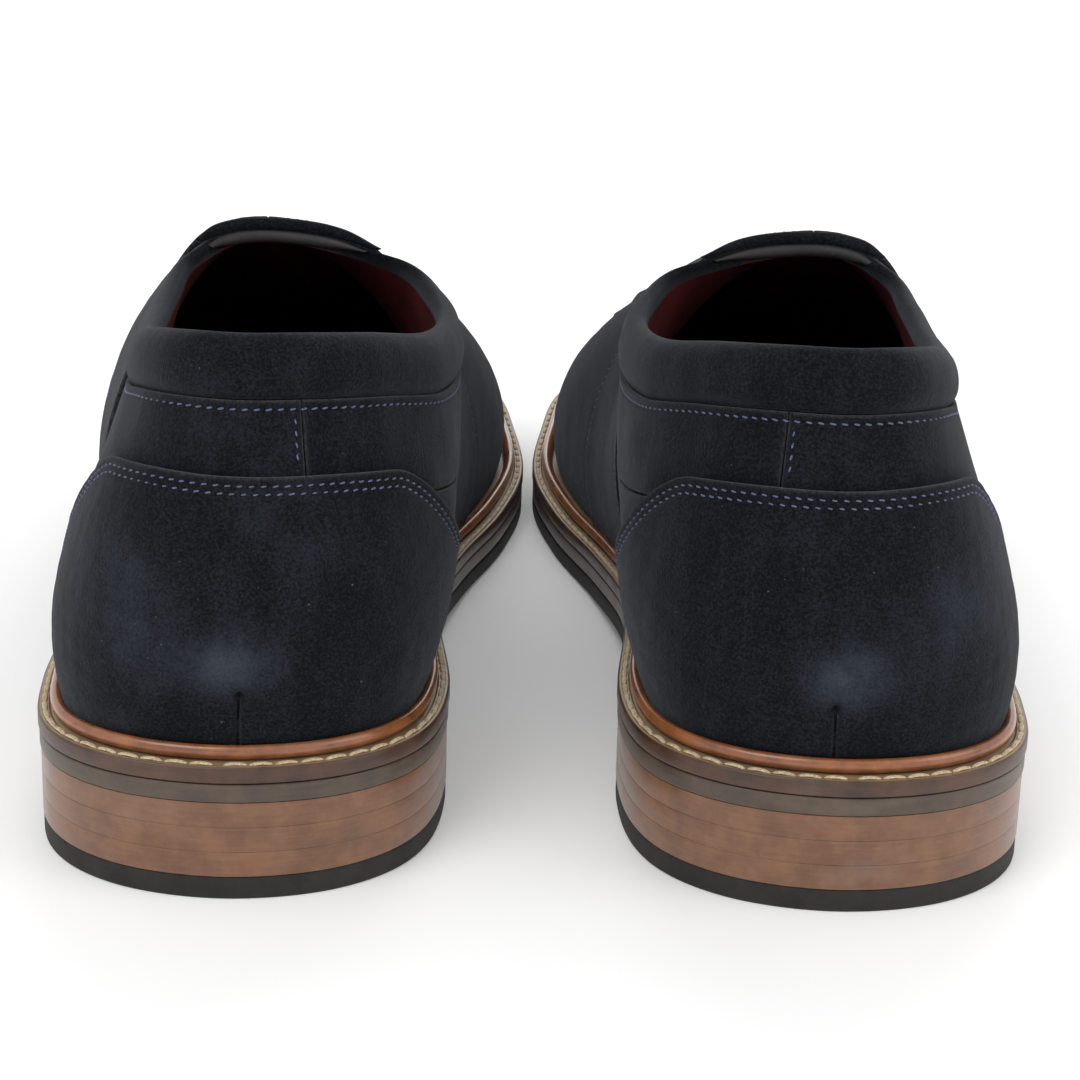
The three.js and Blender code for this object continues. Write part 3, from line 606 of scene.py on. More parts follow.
def suede():
    """Short nap: fine speckled grain, brushed patches of lighter blue-grey, pale raw edges, dust."""
    f = Finish("suede", Sheen_Weight=0.24, Sheen_Roughness=0.3, Sheen_Tint=(0.66, 0.7, 0.79, 1),
               Specular_IOR_Level=0.12)
    patches = f.noise(30, 2.0).ramp(0.5, 0.72) * f.noise(8, 3.0).ramp(0.35, 0.7)
    brushed = f.noise(6, 4.0, place=f.stretched(1.0, 1.0, 0.35)).ramp(0.35, 0.8)
    grain = f.noise(0.5, 4.0, 0.75)
    speck = grain.ramp(0.3, 0.7)
    fine = f.noise(0.2, 2.0, 0.7)
    rubbed = f.attribute("nap") * (0.26 + 0.3 * f.noise(3.5, 3.0).ramp(0.2, 0.7))
    nap = patches * 0.13 + brushed * 0.08 + rubbed
    lightness = (nap + speck * 0.26 - 0.09).ramp(0.0, 1.0, False)
    colour = f.blend(lightness, shade(9, 11, 14), shade(72, 79, 91))
    fibres = f.noise(0.4, 3.0, 0.7, place=f.stretched(1.0, 1.0, 0.25)).ramp(0.3, 0.7)
    cut = f.blend(fibres, shade(30, 31, 35), shade(78, 77, 79))
    colour = f.blend(f.attribute("raw") * 0.8, colour, cut)
    # painted shade: the dart's slit, marked by the counter cover, is darkened to near black
    colour = f.blend(f.attribute("pit") * 0.9, colour, shade(4, 4, 6))
    dust = f.noise(0.9, 1.0).ramp(0.79, 0.82)
    colour = f.blend(dust * 0.4, colour, shade(130, 130, 136))
    height = grain * 0.6 + fine * 0.4 + brushed * 0.3
    return f.done(Base_Color=colour, Roughness=0.88 + 0.1 * speck, Normal=f.bump(height, 0.35, 0.8))


def grained(name, dark, light, size, rough, bump, **fixed):
    """Smooth leather, board or rubber: blotches of two shades and a fine grain."""
    f = Finish(name, **fixed)
    blotch = f.noise(size * 12, 4.0).ramp(0.3, 0.7)
    grain = f.noise(size, 4.0, 0.6)
    scuffs = f.noise(size * 5, 3.0, place=f.stretched(1.0, 0.3, 1.0)).ramp(0.6, 0.75)
    colour = f.blend(blotch * 0.7 + grain * 0.3, dark, light)
    return f.done(Base_Color=colour, Roughness=rough + 0.18 * grain + 0.1 * scuffs - 0.1,
                  Normal=f.bump(grain, bump, 0.6))


def edge_leather(name, dark, light, red, rough, line_size, top=None, **fixed):
    """Burnished cut edge of stacked leather: mottles, thin level lines and small reddish patches;
    a piece with a bare upper face has its own shade there."""
    f = Finish(name, **fixed)
    mottle = f.noise(6, 5.0, 0.62).ramp(0.3, 0.72)
    lines = f.noise(line_size, 3.0, 0.6, place=f.stretched(0.06, 0.06, 1.0))
    warm = f.noise(3.2, 3.0, 0.5, place=f.stretched(0.6, 0.6, 1.0)).ramp(0.6, 0.72)
    grain = f.noise(0.5, 3.0, 0.6)
    colour = f.blend(mottle * 0.75 + lines.ramp(0.35, 0.65) * 0.2 + grain * 0.1, dark, light)
    colour = f.blend(warm * 0.4, colour, red)
    if top:
        colour = f.blend(f.attribute("top") * (0.55 + 0.35 * mottle), colour, top)
    smear = f.noise(12, 3.0, 0.6, place=f.stretched(0.4, 0.4, 1.0)).ramp(0.55, 0.75)
    height = lines * 0.5 + mottle * 0.3 + grain * 0.4
    return f.done(Base_Color=f.blend(smear * 0.18, colour, shade(150, 140, 130)),
                  Roughness=rough + 0.16 * mottle + 0.1 * grain - 0.08,
                  Normal=f.bump(height, 0.12, 0.45))


def thread(name, dark, light, twist):
    """Waxed thread: fine strands across its length and a little soil."""
    f = Finish(name, Sheen_Weight=0.15, Specular_IOR_Level=0.4)
    strands = f.noise(twist, 2.0, 0.6)
    soil = f.noise(14, 3.0).ramp(0.45, 0.75)
    colour = f.blend(strands.ramp(0.3, 0.7), dark, light)
    return f.done(Base_Color=f.blend(soil * 0.35, colour, dark), Roughness=0.6 + 0.2 * strands,
                  Normal=f.bump(strands, 0.15, 0.8))


def brushed_steel():
    """Grey metal with fine lines drawn out along the shoe."""
    f = Finish("steel", Metallic=1.0)
    lines = f.noise(0.5, 3.0, place=f.stretched(1.0, 0.05, 1.0))
    colour = f.blend(lines, shade(120, 122, 125), shade(170, 172, 176))
    return f.done(Base_Color=colour, Roughness=0.28 + 0.2 * lines,
                  Normal=f.bump(lines, 0.05, 0.4))


finishes = {
    "suede": suede(),
    "lining": grained("lining", shade(58, 14, 18), shade(92, 28, 30), 0.7, 0.55, 0.12, Coat_Weight=0.1),
    "sock": grained("sock", shade(20, 18, 20), shade(40, 34, 34), 0.8, 0.6, 0.12),
    "foam": grained("foam", shade(140, 134, 122), shade(176, 170, 158), 1.2, 0.9, 0.4),
    "board": grained("board", shade(140, 108, 70), shade(176, 144, 104), 0.9, 0.8, 0.2),
    "cork": grained("cork", shade(96, 62, 34), shade(160, 116, 74), 1.8, 0.85, 0.5),
    "steel": brushed_steel(),
    "rand": edge_leather("rand", shade(110, 61, 33), shade(162, 99, 57), shade(126, 62, 36), 0.3, 1.0,
                         Coat_Weight=0.6, Coat_Roughness=0.15),
    "welt": edge_leather("welt", shade(52, 33, 23), shade(88, 59, 41), shade(84, 46, 29), 0.42, 0.7,
                         shade(158, 130, 98), Coat_Weight=0.2, Coat_Roughness=0.3),
    "thread": thread("welt_thread", shade(168, 146, 114), shade(222, 204, 170), 0.35),
    "seam_thread": thread("seam_thread", shade(62, 67, 96), shade(112, 117, 152), 0.2),
    "midsole": edge_leather("midsole", shade(62, 49, 39), shade(90, 74, 60), shade(84, 58, 42), 0.45,
                            0.8, Coat_Weight=0.25, Coat_Roughness=0.3),
    "heel": edge_leather("heel_stack", shade(98, 61, 37), shade(132, 89, 58), shade(122, 62, 35), 0.36,
                         0.55, Coat_Weight=0.5, Coat_Roughness=0.25),
    "rubber": grained("rubber", shade(20, 18, 17), shade(42, 38, 36), 0.5, 0.75, 0.15),
}
for name, node in frame["nodes"].items():
    slot = next(part["material_slot"] for part in frame["record"]["subparts"] if part["node"] == name)
    node.data.materials.clear()
    node.data.materials.append(finishes[slot])

# ---- upper ---------------------------------------------------------------------------------------
COVER_ROWS, BAND_ROW, STRAP_ROW = (1.5, 2.85), (1.5,), (2.0,)
ROW_DEPTH, ROW_HALF = 0.22, 0.38
DART_LEAN, DART_HALF, DART_DEPTH = 0.05, 0.5, 1.2
HOLLOW_HALF, HOLLOW_TALL = 0.95, 1.05
HEEL_BACK, HEEL_SIDES = 40, 60
EDGE_LIFT = 0.1


def groove(distance, rows, depth=ROW_DEPTH):
    """Relief of sunk stitch rows: a bell-shaped dip at each distance from the edge."""
    return -sum(depth * bell(distance, row, ROW_HALF) for row in rows)


def dart(flat):
    """How deep in the dart a point is, 0 to 1: a bell across the slit below its top or a round one
    at its top, whichever is more, and only at the back of the heel."""
    across, height = flat[..., 0] - DART_ACROSS, flat[..., 2]
    lean = across - DART_LEAN * (height - DART_TOP)
    slit = bell(lean, 0, DART_HALF) * smooth(DART_TOP + 0.8 - height, 0, 1.2)
    hollow = bell(lean, 0, HOLLOW_HALF) * bell(height, DART_TOP, HOLLOW_TALL)
    return np.where(flat[..., 1] < HEEL_SIDES, np.maximum(slit, hollow), 0)


def counter_cover():
    """Stiff patch round the heel: one parameter runs round it, the other up from the welt to its raw
    top edge. Its face has two sunk stitch rows, the dart with painted shade in its slit, and a nap
    rubbed pale above the dart."""
    edge_station = np.linspace(-COVER_END, COVER_END, 500)
    edge = on_last(edge_station, cover_top(edge_station), OVERLAY_OUT)
    back = np.linspace(0, 0.5, 200)
    centre = np.interp(DART_ACROSS, on_last(back, DART_SHARE, OVERLAY_OUT)[:, 0], back)
    cluster = np.linspace(centre - 0.12, centre + 0.12, 26) / (2 * COVER_END) + 0.5
    pits = []

    def place(a, b):
        station = mix(-COVER_END, COVER_END, a)
        low = foot_share(station[:, :1], OVERLAY_OUT)
        return station, mix(low, cover_top(station[:, :1]), b)

    def relief(flat, *_):
        away = nearest(flat, edge)
        pits.append(dart(flat))
        rows = groove(away, COVER_ROWS) + EDGE_LIFT * bell(away, 0.6, 0.5)
        return rows - DART_DEPTH * pits[0] + uneven(flat, (0.12, 16, 3), (0.05, 4, 4))

    points, faces, marks = panel(place, (200, 46), (250, 96), (OVERLAY_IN, OVERLAY_OUT), relief,
                                 extra=cluster)
    # painted shade: the dart's depth on the outer face also marks where the suede is darkened to near
    # black
    pit = np.concatenate([pits[0].ravel(), 0 * pits[0].ravel()])
    x, z = points[:, 0] - DART_ACROSS, points[:, 2] - DART_TOP
    nap = bell(x, -2, 7) * bell(z, 5.5, 5) + 0.35 * bell(x, -20, 9) * bell(z, 14, 9)
    return points, faces, {**marks, "pit": pit, "nap": nap * (points[:, 1] < HEEL_BACK)}


def band(first, last, seed):
    """Strip under the collar from the first station to the last, with a raw top edge and one sunk
    stitch row; the one that ends behind has a second row beside the upright seam."""
    tall = BAND_HEIGHT + BAND_LAP

    def place(a, b):
        station = mix(first, last, a)
        return station, mix(band_bottom(station[:, :1]), band_top(station[:, :1]), b)

    def relief(flat, station, a, b):
        below = (1 - b) * tall
        seam = groove(np.abs(station - BAND_SEAM) * 17, (1.6,), 0.16) if last < 1 else 0.0
        rows = groove(below, BAND_ROW) + seam + EDGE_LIFT * bell(below, 0.5, 0.5)
        return rows + uneven(flat, (0.14, 13, seed))

    return panel(place, (110, tall), (200, 46), (LEATHER_IN, LEATHER_OUT), relief)


COLLAR_PROFILE = np.array([  # distance below the topline, depth, share of the padding
    [13.4, 1.32, 0], [13.4, 1.85, 0], [11.2, 1.95, 0], [10.4, 2.9, 0.1], [8.6, 3.5, 0.5],
    [5.6, 3.6, 0.8], [2.6, 3.4, 0.7], [0.5, 2.75, 0.35], [-0.35, 1.7, 0], [0.2, 0.6, 0],
    [1.6, 0.0, 0], [3.4, 0.05, 0], [3.5, 0.85, 0], [8.0, 1.3, 0]])
FULLNESS, FULL_TO, FLAT_FROM = 1.4, 4.8, 6


def collar():
    """Padded roll round the topline: a closed profile carried along the shoe's opening, fuller round
    the heel than at its ends, with soft waves."""
    station = np.linspace(-COLLAR_END, COLLAR_END, 300)[:, None]
    spots = np.linspace(0, len(COLLAR_PROFILE), 64, endpoint=False)
    profile, _ = spline(COLLAR_PROFILE, spots, True)
    below, depth, padded = (profile[None, :, k] for k in range(3))
    fullness = FULLNESS * (1 - smooth(np.abs(station), FULL_TO, FLAT_FROM))
    waves = uneven(on_last(station, 1.0, 2.0), (0.16, 19, 11), (0.1, 6, 12))
    share = share_below(station, np.maximum(below, 0))
    loops = on_last(station, share, depth + padded * (fullness + waves))
    return tube(loops + UP * np.maximum(-below, 0)[..., None], False)


def quarter(side):
    """Side panel between the counter cover and the saddle strap; its top edge is worked out at every
    sixth column and drawn straight between."""
    def place(a, b):
        high = quarter_front(b)
        station = mix(0.02, high, a)
        low = foot_share(side * station[:, :1], LEATHER_OUT)
        coarse = band_bottom(side * station[:, ::6])
        steps = np.arange(station.shape[1]) / 6
        top = np.stack([np.interp(steps, np.arange(coarse.shape[1]), row) for row in coarse])
        return side * station, mix(low, top - 0.006, b)

    def relief(flat, *_):
        return uneven(flat, (0.16, 17, 21 + side), (0.05, 5, 23))

    return panel(place, (130, 45), (110, 44), (LEATHER_IN, LEATHER_OUT), relief)


PLEATS, GATHER, RIDGE = 104, 0.3, 1.15


def vamp():
    """Front panel round the toe. Its top edge is gathered into the raised seam of the apron: a bell
    for the ridge, a dip below it, and pleats as a cosine along the seam that fade below."""
    def place(a, b):
        start = quarter_front(np.minimum(b, APRON_SHARE)) + 0.03
        station = round_toe(mix(start, 2 * TOE - start, a))
        low = foot_share(station[:, :1], LEATHER_OUT)
        return station, mix(low, apron_seam(station) - APRON_GAP, b)

    def relief(flat, station, a, b):
        below = (1 - b) * 42
        front = smooth(np.abs(station), 7.6, 8.6)
        pleats = 0.5 + 0.5 * np.cos(a * 2 * np.pi * PLEATS)
        ridge = RIDGE * bell(below, 1.1, 1.0) - 0.35 * bell(below, 3.4, 1.1)
        gather = GATHER * pleats * bell(below, 3.2, 2.0)
        return front * (ridge - gather) + uneven(flat, (0.14, 20, 31), (0.05, 5, 32))

    return panel(place, (330, 42), (600, 52), (LEATHER_IN, LEATHER_OUT), relief)


APRON_LONG, APRON_WIDE = 260, 30


def apron():
    """Panel over the forefoot: it runs round the toe and meets itself along the crown. Its edge has
    a small ridge and a dip, which fade at the tip, and its waves fade at the crown."""
    columns = spread(60, APRON_WIDE, EDGE_RADIUS)
    b = np.concatenate([columns[columns < 0.997], [1.0]])[None, :]
    a, b = np.broadcast_arrays(spread(240, APRON_LONG, EDGE_RADIUS)[:, None], b)
    start = strap_front(mix(APRON_SHARE + APRON_GAP, 1.0, b)) - 0.3
    station = round_toe(mix(start, 2 * TOE - start, a))
    share = mix(apron_seam(station) + APRON_GAP, 1.0, b)
    flat = on_last(station, share, LEATHER_OUT)
    to_ends_of_it, up = to_ends(a, APRON_LONG), b * APRON_WIDE
    drop = rounding(np.minimum(to_ends_of_it, up), EDGE_RADIUS)
    edge = 0.25 * bell(up, 0.8, 0.7) - 0.2 * bell(up, 2.2, 0.7)
    waves = uneven(flat, (0.14, 22, 41), (0.05, 5, 42)) * (1 - smooth(share, 0.97, 1.0))
    relief = edge * (1 - 0.85 * smooth(np.abs(station), 10.6, 11.6)) + waves
    outer = on_last(station, share, LEATHER_OUT - drop + relief)
    inner = on_last(station, share, np.full(share.shape, LEATHER_IN))
    raw = np.clip(1 - to_ends_of_it / RAW_WIDTH, 0, 1).ravel()
    return *shell(outer, inner, True), {"raw": np.concatenate([raw, np.zeros(share.size)])}


SLOT_HALF_LENGTH, SLOT_HALF_WIDTH, STRAIGHT_TO, BENT_FROM = 13.5, 4.25, 15, 24


def saddle_strap():
    """Band over the instep. The grids behind and in front of the slot share its middle line: straight
    across the shoe near the slot, where it opens as a parabola on either side."""
    close = np.array([0.0005, 0.002, 0.005, 0.009, 0.014, 0.02, 0.028])
    even_rows = [np.linspace(-1, 1, 201), np.linspace(-0.4, 0.4, 161)]
    climb = np.unique(np.concatenate([*even_rows, close, -close, [0.998, -0.998]]))
    sign = np.where(climb > 0, -1.0, 1.0)[:, None]
    foot = foot_share(-6.0 * np.sign(climb), OVERLAY_OUT)
    share = np.maximum(1 - np.abs(climb), foot)[:, None]
    rear, front = strap_rear(share), strap_front(share)
    steps = 80
    scan = np.linspace(0, 1, steps + 1)[None, :]
    spots = on_last(sign * mix(rear, front, scan), share, OVERLAY_OUT)
    middle_y = on_last(mix(strap_rear(1.0), strap_front(1.0), 0.5), 1.0, OVERLAY_OUT)[1]

    def reach(along):
        """Share of the strap's width where it passes a distance along the shoe."""
        return 1 - crossing_of(-spots[:, ::-1, 1], -along)[:, None] / steps

    spot_of_middle = np.round(reach(middle_y) * steps).astype(int)
    middle_x = np.take_along_axis(spots[..., 0], spot_of_middle, 1)
    off = np.abs(middle_x - middle_x[np.abs(climb).argmin()])
    half_open = SLOT_HALF_WIDTH * np.clip(1 - (off / SLOT_HALF_LENGTH) ** 2, 0, 1)
    straight = 1 - smooth(off, STRAIGHT_TO, BENT_FROM)
    lips = [mix(0.5, reach(middle_y + way * half_open[:, 0]), straight) for way in (-1, 1)]
    even = spread(26, 14, STRAP_RADIUS)[None, :]
    width = np.concatenate([even * lips[0], mix(lips[1], 1.0, even)], 1)
    station, share = np.broadcast_arrays(sign * mix(rear, front, width), share)
    flat = on_last(station, share, OVERLAY_OUT)
    wide = np.linalg.norm(np.diff(spots, axis=1), axis=-1).sum(1, keepdims=True)
    from_edge = to_ends(width, wide)
    lip_here = np.concatenate([lips[0] + 0 * even, lips[1] + 0 * even], 1)
    is_open = half_open > 1e-3
    from_lip = np.where(is_open, np.abs(width - lip_here) * wide, 99.0)
    drop = rounding(np.minimum(from_edge, from_lip), STRAP_RADIUS)
    relief = groove(from_edge, STRAP_ROW) + 0.4 * bell(from_lip, 1.6, 1.6)
    relief = relief + uneven(flat, (0.14, 18, 51), (0.05, 5, 52))
    outer = on_last(station, share, OVERLAY_OUT - drop + relief)
    inner = on_last(station, share, np.full(share.shape, OVERLAY_IN))
    number = np.arange(share.size).reshape(share.shape)
    count, half = share.size, even.size
    faces = []
    for part in (number[:, :half], number[:, half:]):
        corners = part[:-1, :-1], part[1:, :-1], part[1:, 1:], part[:-1, 1:]
        quads = np.stack(corners, -1).reshape(-1, 4)
        faces += [quads, quads[:, ::-1] + count]
    slot = np.flatnonzero(is_open)
    slot = np.arange(slot[0] - 1, slot[-1] + 2)
    ends = [number[0, :half], number[0, half:], number[:, -1], number[-1, half:][::-1],
            number[-1, :half][::-1], number[::-1, 0], number[slot, half - 1], number[slot, half][::-1]]
    faces += [band_faces(side, side + count) for side in ends]
    raw = np.clip(1 - np.minimum(from_edge, from_lip) / 0.4, 0, 1).ravel()
    points = np.vstack([outer.reshape(-1, 3), inner.reshape(-1, 3)])
    return points, np.vstack(faces), {"raw": np.concatenate([raw, np.ones(count)])}


INSIDE_SHOE = [0, 60, 95]


def throat_edge(depth, tall, thick):
    """Rolled edge round the front of the opening: an oval, tall along the surface's normal, carried
    along the topline past the apex and tapered where it meets the collar."""
    way = np.linspace(COLLAR_END - 0.2, 2 * APEX - COLLAR_END + 0.2, 90)
    station = np.where(way > APEX, way - 2 * APEX, way)
    line, slope = spline(TOPLINE_LOOP, way, True)
    normal = unit(on_last(station, 1.0, 1.0) - on_last(station, 1.0, 0.0))
    away = unit(np.cross(unit(slope), normal))
    away = away * np.sign(np.sum(away * (line - INSIDE_SHOE), -1, keepdims=True))
    end = np.minimum(way - way[0], way[-1] - way)
    full = (0.55 + 0.45 * smooth(end, 0, 0.25))[:, None, None]
    turn = np.linspace(0, 2 * np.pi, 25)[:-1][None, :, None]
    loops = (line[:, None] + normal[:, None] * (depth + full * tall * np.sin(turn))
             + away[:, None] * (0.1 + full * thick * np.cos(turn)))
    return tube(loops, False)


def tongue():
    """Sheet under the strap: seen through the slot and at the front of the opening."""
    def place(a, b):
        climb = mix(-1 / 3, 1 / 3, a)
        share = 1 - np.abs(climb)
        rear = mix(6.75, 7.06, share ** 4)
        front = mix(7.6, 8.4, smooth(share, APRON_SHARE, 1))
        return np.where(climb > 0, -1.0, 1.0) * mix(rear, front, b), share

    return panel(place, (66, 36), (91, 30), (STIFF_IN, STIFF_OUT),
                 lambda flat, *_: uneven(flat, (0.05, 9, 61)), rim=0.2)


# ---- inside --------------------------------------------------------------------------------------
def quarter_lining():
    """Lining of the heel and the sides, up to under the collar's turned-in edge."""
    def place(a, b):
        station = mix(-6.75, 6.75, a)
        return station, mix(foot_share(station, LINING_IN), share_below(station, 3.0), b)

    return panel(place, (230, 66), (180, 50), (LINING_IN, LINING_OUT), lambda *_: 0.0, rim=0.15)[:2]


def vamp_lining():
    """Lining of the forefoot: round the toe and closed along the crown."""
    a, b = np.broadcast_arrays(spread(160, 320, 0.2)[:, None], np.linspace(0, 1, 60)[None, :])
    station = round_toe(mix(7.03, 2 * TOE - 7.03, a))
    share = mix(foot_share(station[:, :1], LINING_IN), 1.0, b)
    outer, inner = (on_last(station, share, np.full(share.shape, depth))
                    for depth in (LINING_OUT, LINING_IN))
    return shell(outer, inner, True)


def heel_grip():
    """Soft patch inside the back of the heel, its edges skived thin."""
    def place(a, b):
        return mix(-2.0, 2.0, a), mix(0.3, 0.9, b)

    return panel(place, (70, 46), (70, 50), (-1.25, -0.45),
                 lambda flat, *_: uneven(flat, (0.03, 8, 71)), rim=0.35)[:2]


# ---- sole and heel -------------------------------------------------------------------------------
def over_seat(offset):
    """Height that follows the seat at an offset."""
    return lambda y: seat(y) + offset


def level(height):
    """The same height all along."""
    return lambda y: 0 * y + height


def sole_layer(inset, radius, thickness, stations, bottom, top):
    """Layer cut to the outline: at each station a loop of two rounded edges, quarter circles at the
    bottom and the top, and of the faces between them, with heights from bottom and top."""
    turn = np.linspace(np.pi / 2, 0, 5)
    part, step = radius / thickness * (1 - np.sin(turn)), radius * (1 - np.cos(turn))
    part = np.concatenate([part, 1 - part[::-1]])[None]
    step = np.concatenate([step, step[::-1]])[None]
    sides = []
    for sign in (1.0, -1.0):
        edge, _ = outline(sign * stations[:, None] + 0 * part, inset + step)
        edge[..., 2] = mix(bottom(edge[..., 1]), top(edge[..., 1]), part)
        sides.append(edge)
    medial, lateral = sides
    fill = np.linspace(0, 1, 9)[1:-1][None, :, None]
    over = mix(medial[:, -1:], lateral[:, -1:], fill)
    under = mix(lateral[:, :1], medial[:, :1], fill)
    return tube(np.concatenate([medial, over, lateral[:, ::-1], under], 1), False)


HEEL_STATIONS = np.linspace(0, BREAST - 0.03, 180)
SOLE_GAP, LIFT_GAP = 0.05, 0.01


def sock():
    """Cover of the insole, up to the lining."""
    return sole_layer(FEATHER_INSET + 1.0, 0.5, 1.6, np.linspace(0, TOE, 220), over_seat(2.4),
                      over_seat(4.0))


def midsole():
    """Layer under the welt, as long as the shoe."""
    return sole_layer(0.2, 0.4, 3.4, np.linspace(0, TOE, 400), over_seat(SOLE_BOTTOM + SOLE_GAP),
                      over_seat(-WELT - 0.12))


def outsole():
    """Rubber under the forepart and the waist, from the heel's breast to the toe."""
    return sole_layer(0.2, 0.7, 4.1, np.linspace(BREAST + 0.03, TOE, 260),
                      over_seat(SOLE_BOTTOM - OUTSOLE + 2 * SOLE_GAP),
                      over_seat(SOLE_BOTTOM - SOLE_GAP))


def heel_top_piece():
    """Flat rubber under the heel: it stands on the floor."""
    return sole_layer(0.5, 0.4, TOP_PIECE, HEEL_STATIONS, level(0), level(TOP_PIECE - SOLE_GAP))


def heel_lift(number):
    """One of the even layers between the top piece and the midsole."""
    def height(y, k, gap):
        return mix(TOP_PIECE, seat(y) + SOLE_BOTTOM, k / HEEL_LIFTS) + gap

    return sole_layer(0.4, 0.06, 4.6, HEEL_STATIONS, lambda y: height(y, number - 1, LIFT_GAP),
                      lambda y: height(y, number, -LIFT_GAP))


WELT_PROFILE = np.array([  # inset, height over the seat: the upper face first, then the edge
    [13, 0], [9, 0], [5.6, 0], [3.0, -0.02], [2.62, -0.2], [2.4, -0.3], [2.2, -0.2], [2.0, -0.02],
    [1.75, -0.06], [1.3, -0.16], [0.9, -0.05], [0.5, -0.06], [0.25, -0.16], [0.08, -0.34], [0, -0.6],
    [0, -2.7], [0.08, -2.95], [0.25, -3.1], [0.5, -3.2], [6, -3.2], [13, -3.2]])
WELT_FACE = 12


def welt():
    """Strip round the whole outline with a rounded outer edge, a channel for the stitches and a
    groove beside the rand; its upper face is marked top."""
    inset, height = WELT_PROFILE.T[..., None, :]
    station = round_toe(np.linspace(0, 2 * TOE, 900, endpoint=False))[:, None]
    points, faces = tube(on_outline(station, inset, height), True)
    spot = np.arange(len(points)) % (len(WELT_PROFILE) + 1) % len(WELT_PROFILE)
    return points, faces, {"top": (spot < WELT_FACE).astype(float)}


def rand():
    """Rounded bead round the foot of the upper: a circle squeezed at its top, leaning with the upper
    by the way a layer at its depth moves outwards as it rises."""
    turn = np.linspace(0, 2 * np.pi, 21)[:-1][None, :]
    station = round_toe(np.linspace(0, 2 * TOE, 900, endpoint=False))[:, None]
    low = on_last(station, foot_share(station, RAND_INNER), RAND_INNER)
    high = on_last(station, foot_share(station, RAND_INNER, RAND_HEIGHT), RAND_INNER)
    _, outward = outline(station)
    lean = np.sum((high - low) * outward, -1)
    height = RAND_HEIGHT / 2 * (1 + np.sin(turn)) + 0.02
    half = RAND_WIDTH / 2
    middle = FEATHER_INSET - RAND_INNER - half - lean * height / RAND_HEIGHT * 0.8
    inset = middle + half * np.cos(turn) * (1 - 0.12 * np.sin(turn))
    return tube(on_outline(station, inset, height), True)


# ---- thread --------------------------------------------------------------------------------------
SEAM_STITCH = (1.25, 0.34, 0.3)


def welt_thread():
    """Lockstitch round the welt: bulging stitches with small gaps, in the welt's channel."""
    line = on_outline(round_toe(np.linspace(0, 2 * TOE, 4000)), 1.3, 0.12)
    return stitches(line, lambda points: np.broadcast_to(UP, points.shape), 4.4, (4.3, 0.95, 0.55),
                    0.02, 0.04, 8)


def stitch_row(station, share, depth, pitch=2.0, size=SEAM_STITCH, slant=0.2):
    """Blue stitches along a line given by stations and shares."""
    line = on_last(station, share, np.full(np.shape(station), depth))
    step = max(1, len(line) // 400)
    return stitches(line, normals_near(station[::step], share[::step]), pitch, size, slant, 0.02)


def seam_threads():
    """Rows on the counter cover, under the band's edge, beside its seam, on the strap and round the
    apron, where each stitch lies across the raised seam."""
    sunk = 0.16
    cover = np.linspace(-COVER_END + 0.15, COVER_END - 0.15, 900)
    edge = cover_top(cover)
    parts = [stitch_row(cover, parallel_row(cover, edge, row), OVERLAY_OUT - sunk)
             for row in COVER_ROWS]
    along = np.linspace(-6.3, 6.3, 1200)
    below = share_below(along, COLLAR_DEPTH + BAND_ROW[0])
    parts.append(stitch_row(along, below, LEATHER_OUT - sunk))
    seam = np.full(60, BAND_SEAM - 0.095)
    upright = np.linspace(COLLAR_DEPTH + 2.6, COLLAR_DEPTH + BAND_HEIGHT - 0.4, 60)
    parts.append(stitch_row(seam, share_below(seam, upright), LEATHER_OUT - 0.12))
    share = np.maximum(np.linspace(0, 1, 500), foot_share(6.0, OVERLAY_OUT, 3.5))
    keep = share < 0.995
    for sign in (1, -1):
        for edge_at, inward in ((strap_rear, 1), (strap_front, -1)):
            station = edge_at(share)
            step = (on_last(sign * (station + 0.1), share, OVERLAY_OUT)
                    - on_last(sign * station, share, OVERLAY_OUT))
            inset = inward * STRAP_ROW[0] * 0.1 / np.linalg.norm(step, axis=-1)
            parts.append(stitch_row(sign * (station + inset)[keep], share[keep], OVERLAY_OUT - sunk))
    start = strap_front(APRON_SHARE) + 0.05
    way = round_toe(np.linspace(start, 2 * TOE - start, 1500))
    parts.append(stitch_row(way, apron_seam(way), LEATHER_OUT + 0.35, 4.0, (3.4, 0.6, 0.5), 1.45))
    return join(parts)


# ---- both shoes ----------------------------------------------------------------------------------
MEDIAL_BAND, LATERAL_BAND = BAND_SEAM + 0.012, BAND_SEAM - 0.012
pieces = {
    "counter_cover": (counter_cover, "suede"),
    "collar_band_lateral": (lambda: band(-6.44, LATERAL_BAND, 5), "suede"),
    "collar_band_medial": (lambda: band(MEDIAL_BAND, 6.44, 6), "suede"),
    "collar": (collar, "suede"),
    "quarter_lateral": (lambda: quarter(-1), "suede"),
    "quarter_medial": (lambda: quarter(1), "suede"),
    "vamp": (vamp, "suede"),
    "apron": (apron, "suede"),
    "saddle_strap": (saddle_strap, "suede"),
    "tongue": (tongue, "suede"),
    "throat_binding": (lambda: throat_edge(3.6, 1.3, 1.0), "suede"),
    "throat_facing": (lambda: throat_edge(1.05, 1.3, 0.9), "sock"),
    "quarter_lining": (quarter_lining, "lining"),
    "vamp_lining": (vamp_lining, "lining"),
    "heel_grip": (heel_grip, "lining"),
    "sock": (sock, "sock"),
    "rand": (rand, "rand"),
    "welt": (welt, "welt"),
    "welt_thread": (welt_thread, "thread"),
    "seam_thread": (seam_threads, "seam_thread"),
    "midsole": (midsole, "midsole"),
    "outsole": (outsole, "rubber"),
    "heel_top_piece": (heel_top_piece, "rubber"),
    **{f"heel_lift_{k}": (lambda k=k: heel_lift(k), "heel") for k in range(1, HEEL_LIFTS + 1)},
}
STANDS_FOR = {"collar": ["collar", "collar_foam"], "throat_binding": [], "throat_facing": [],
              "seam_thread": []}
SHARP_ANGLE = 35
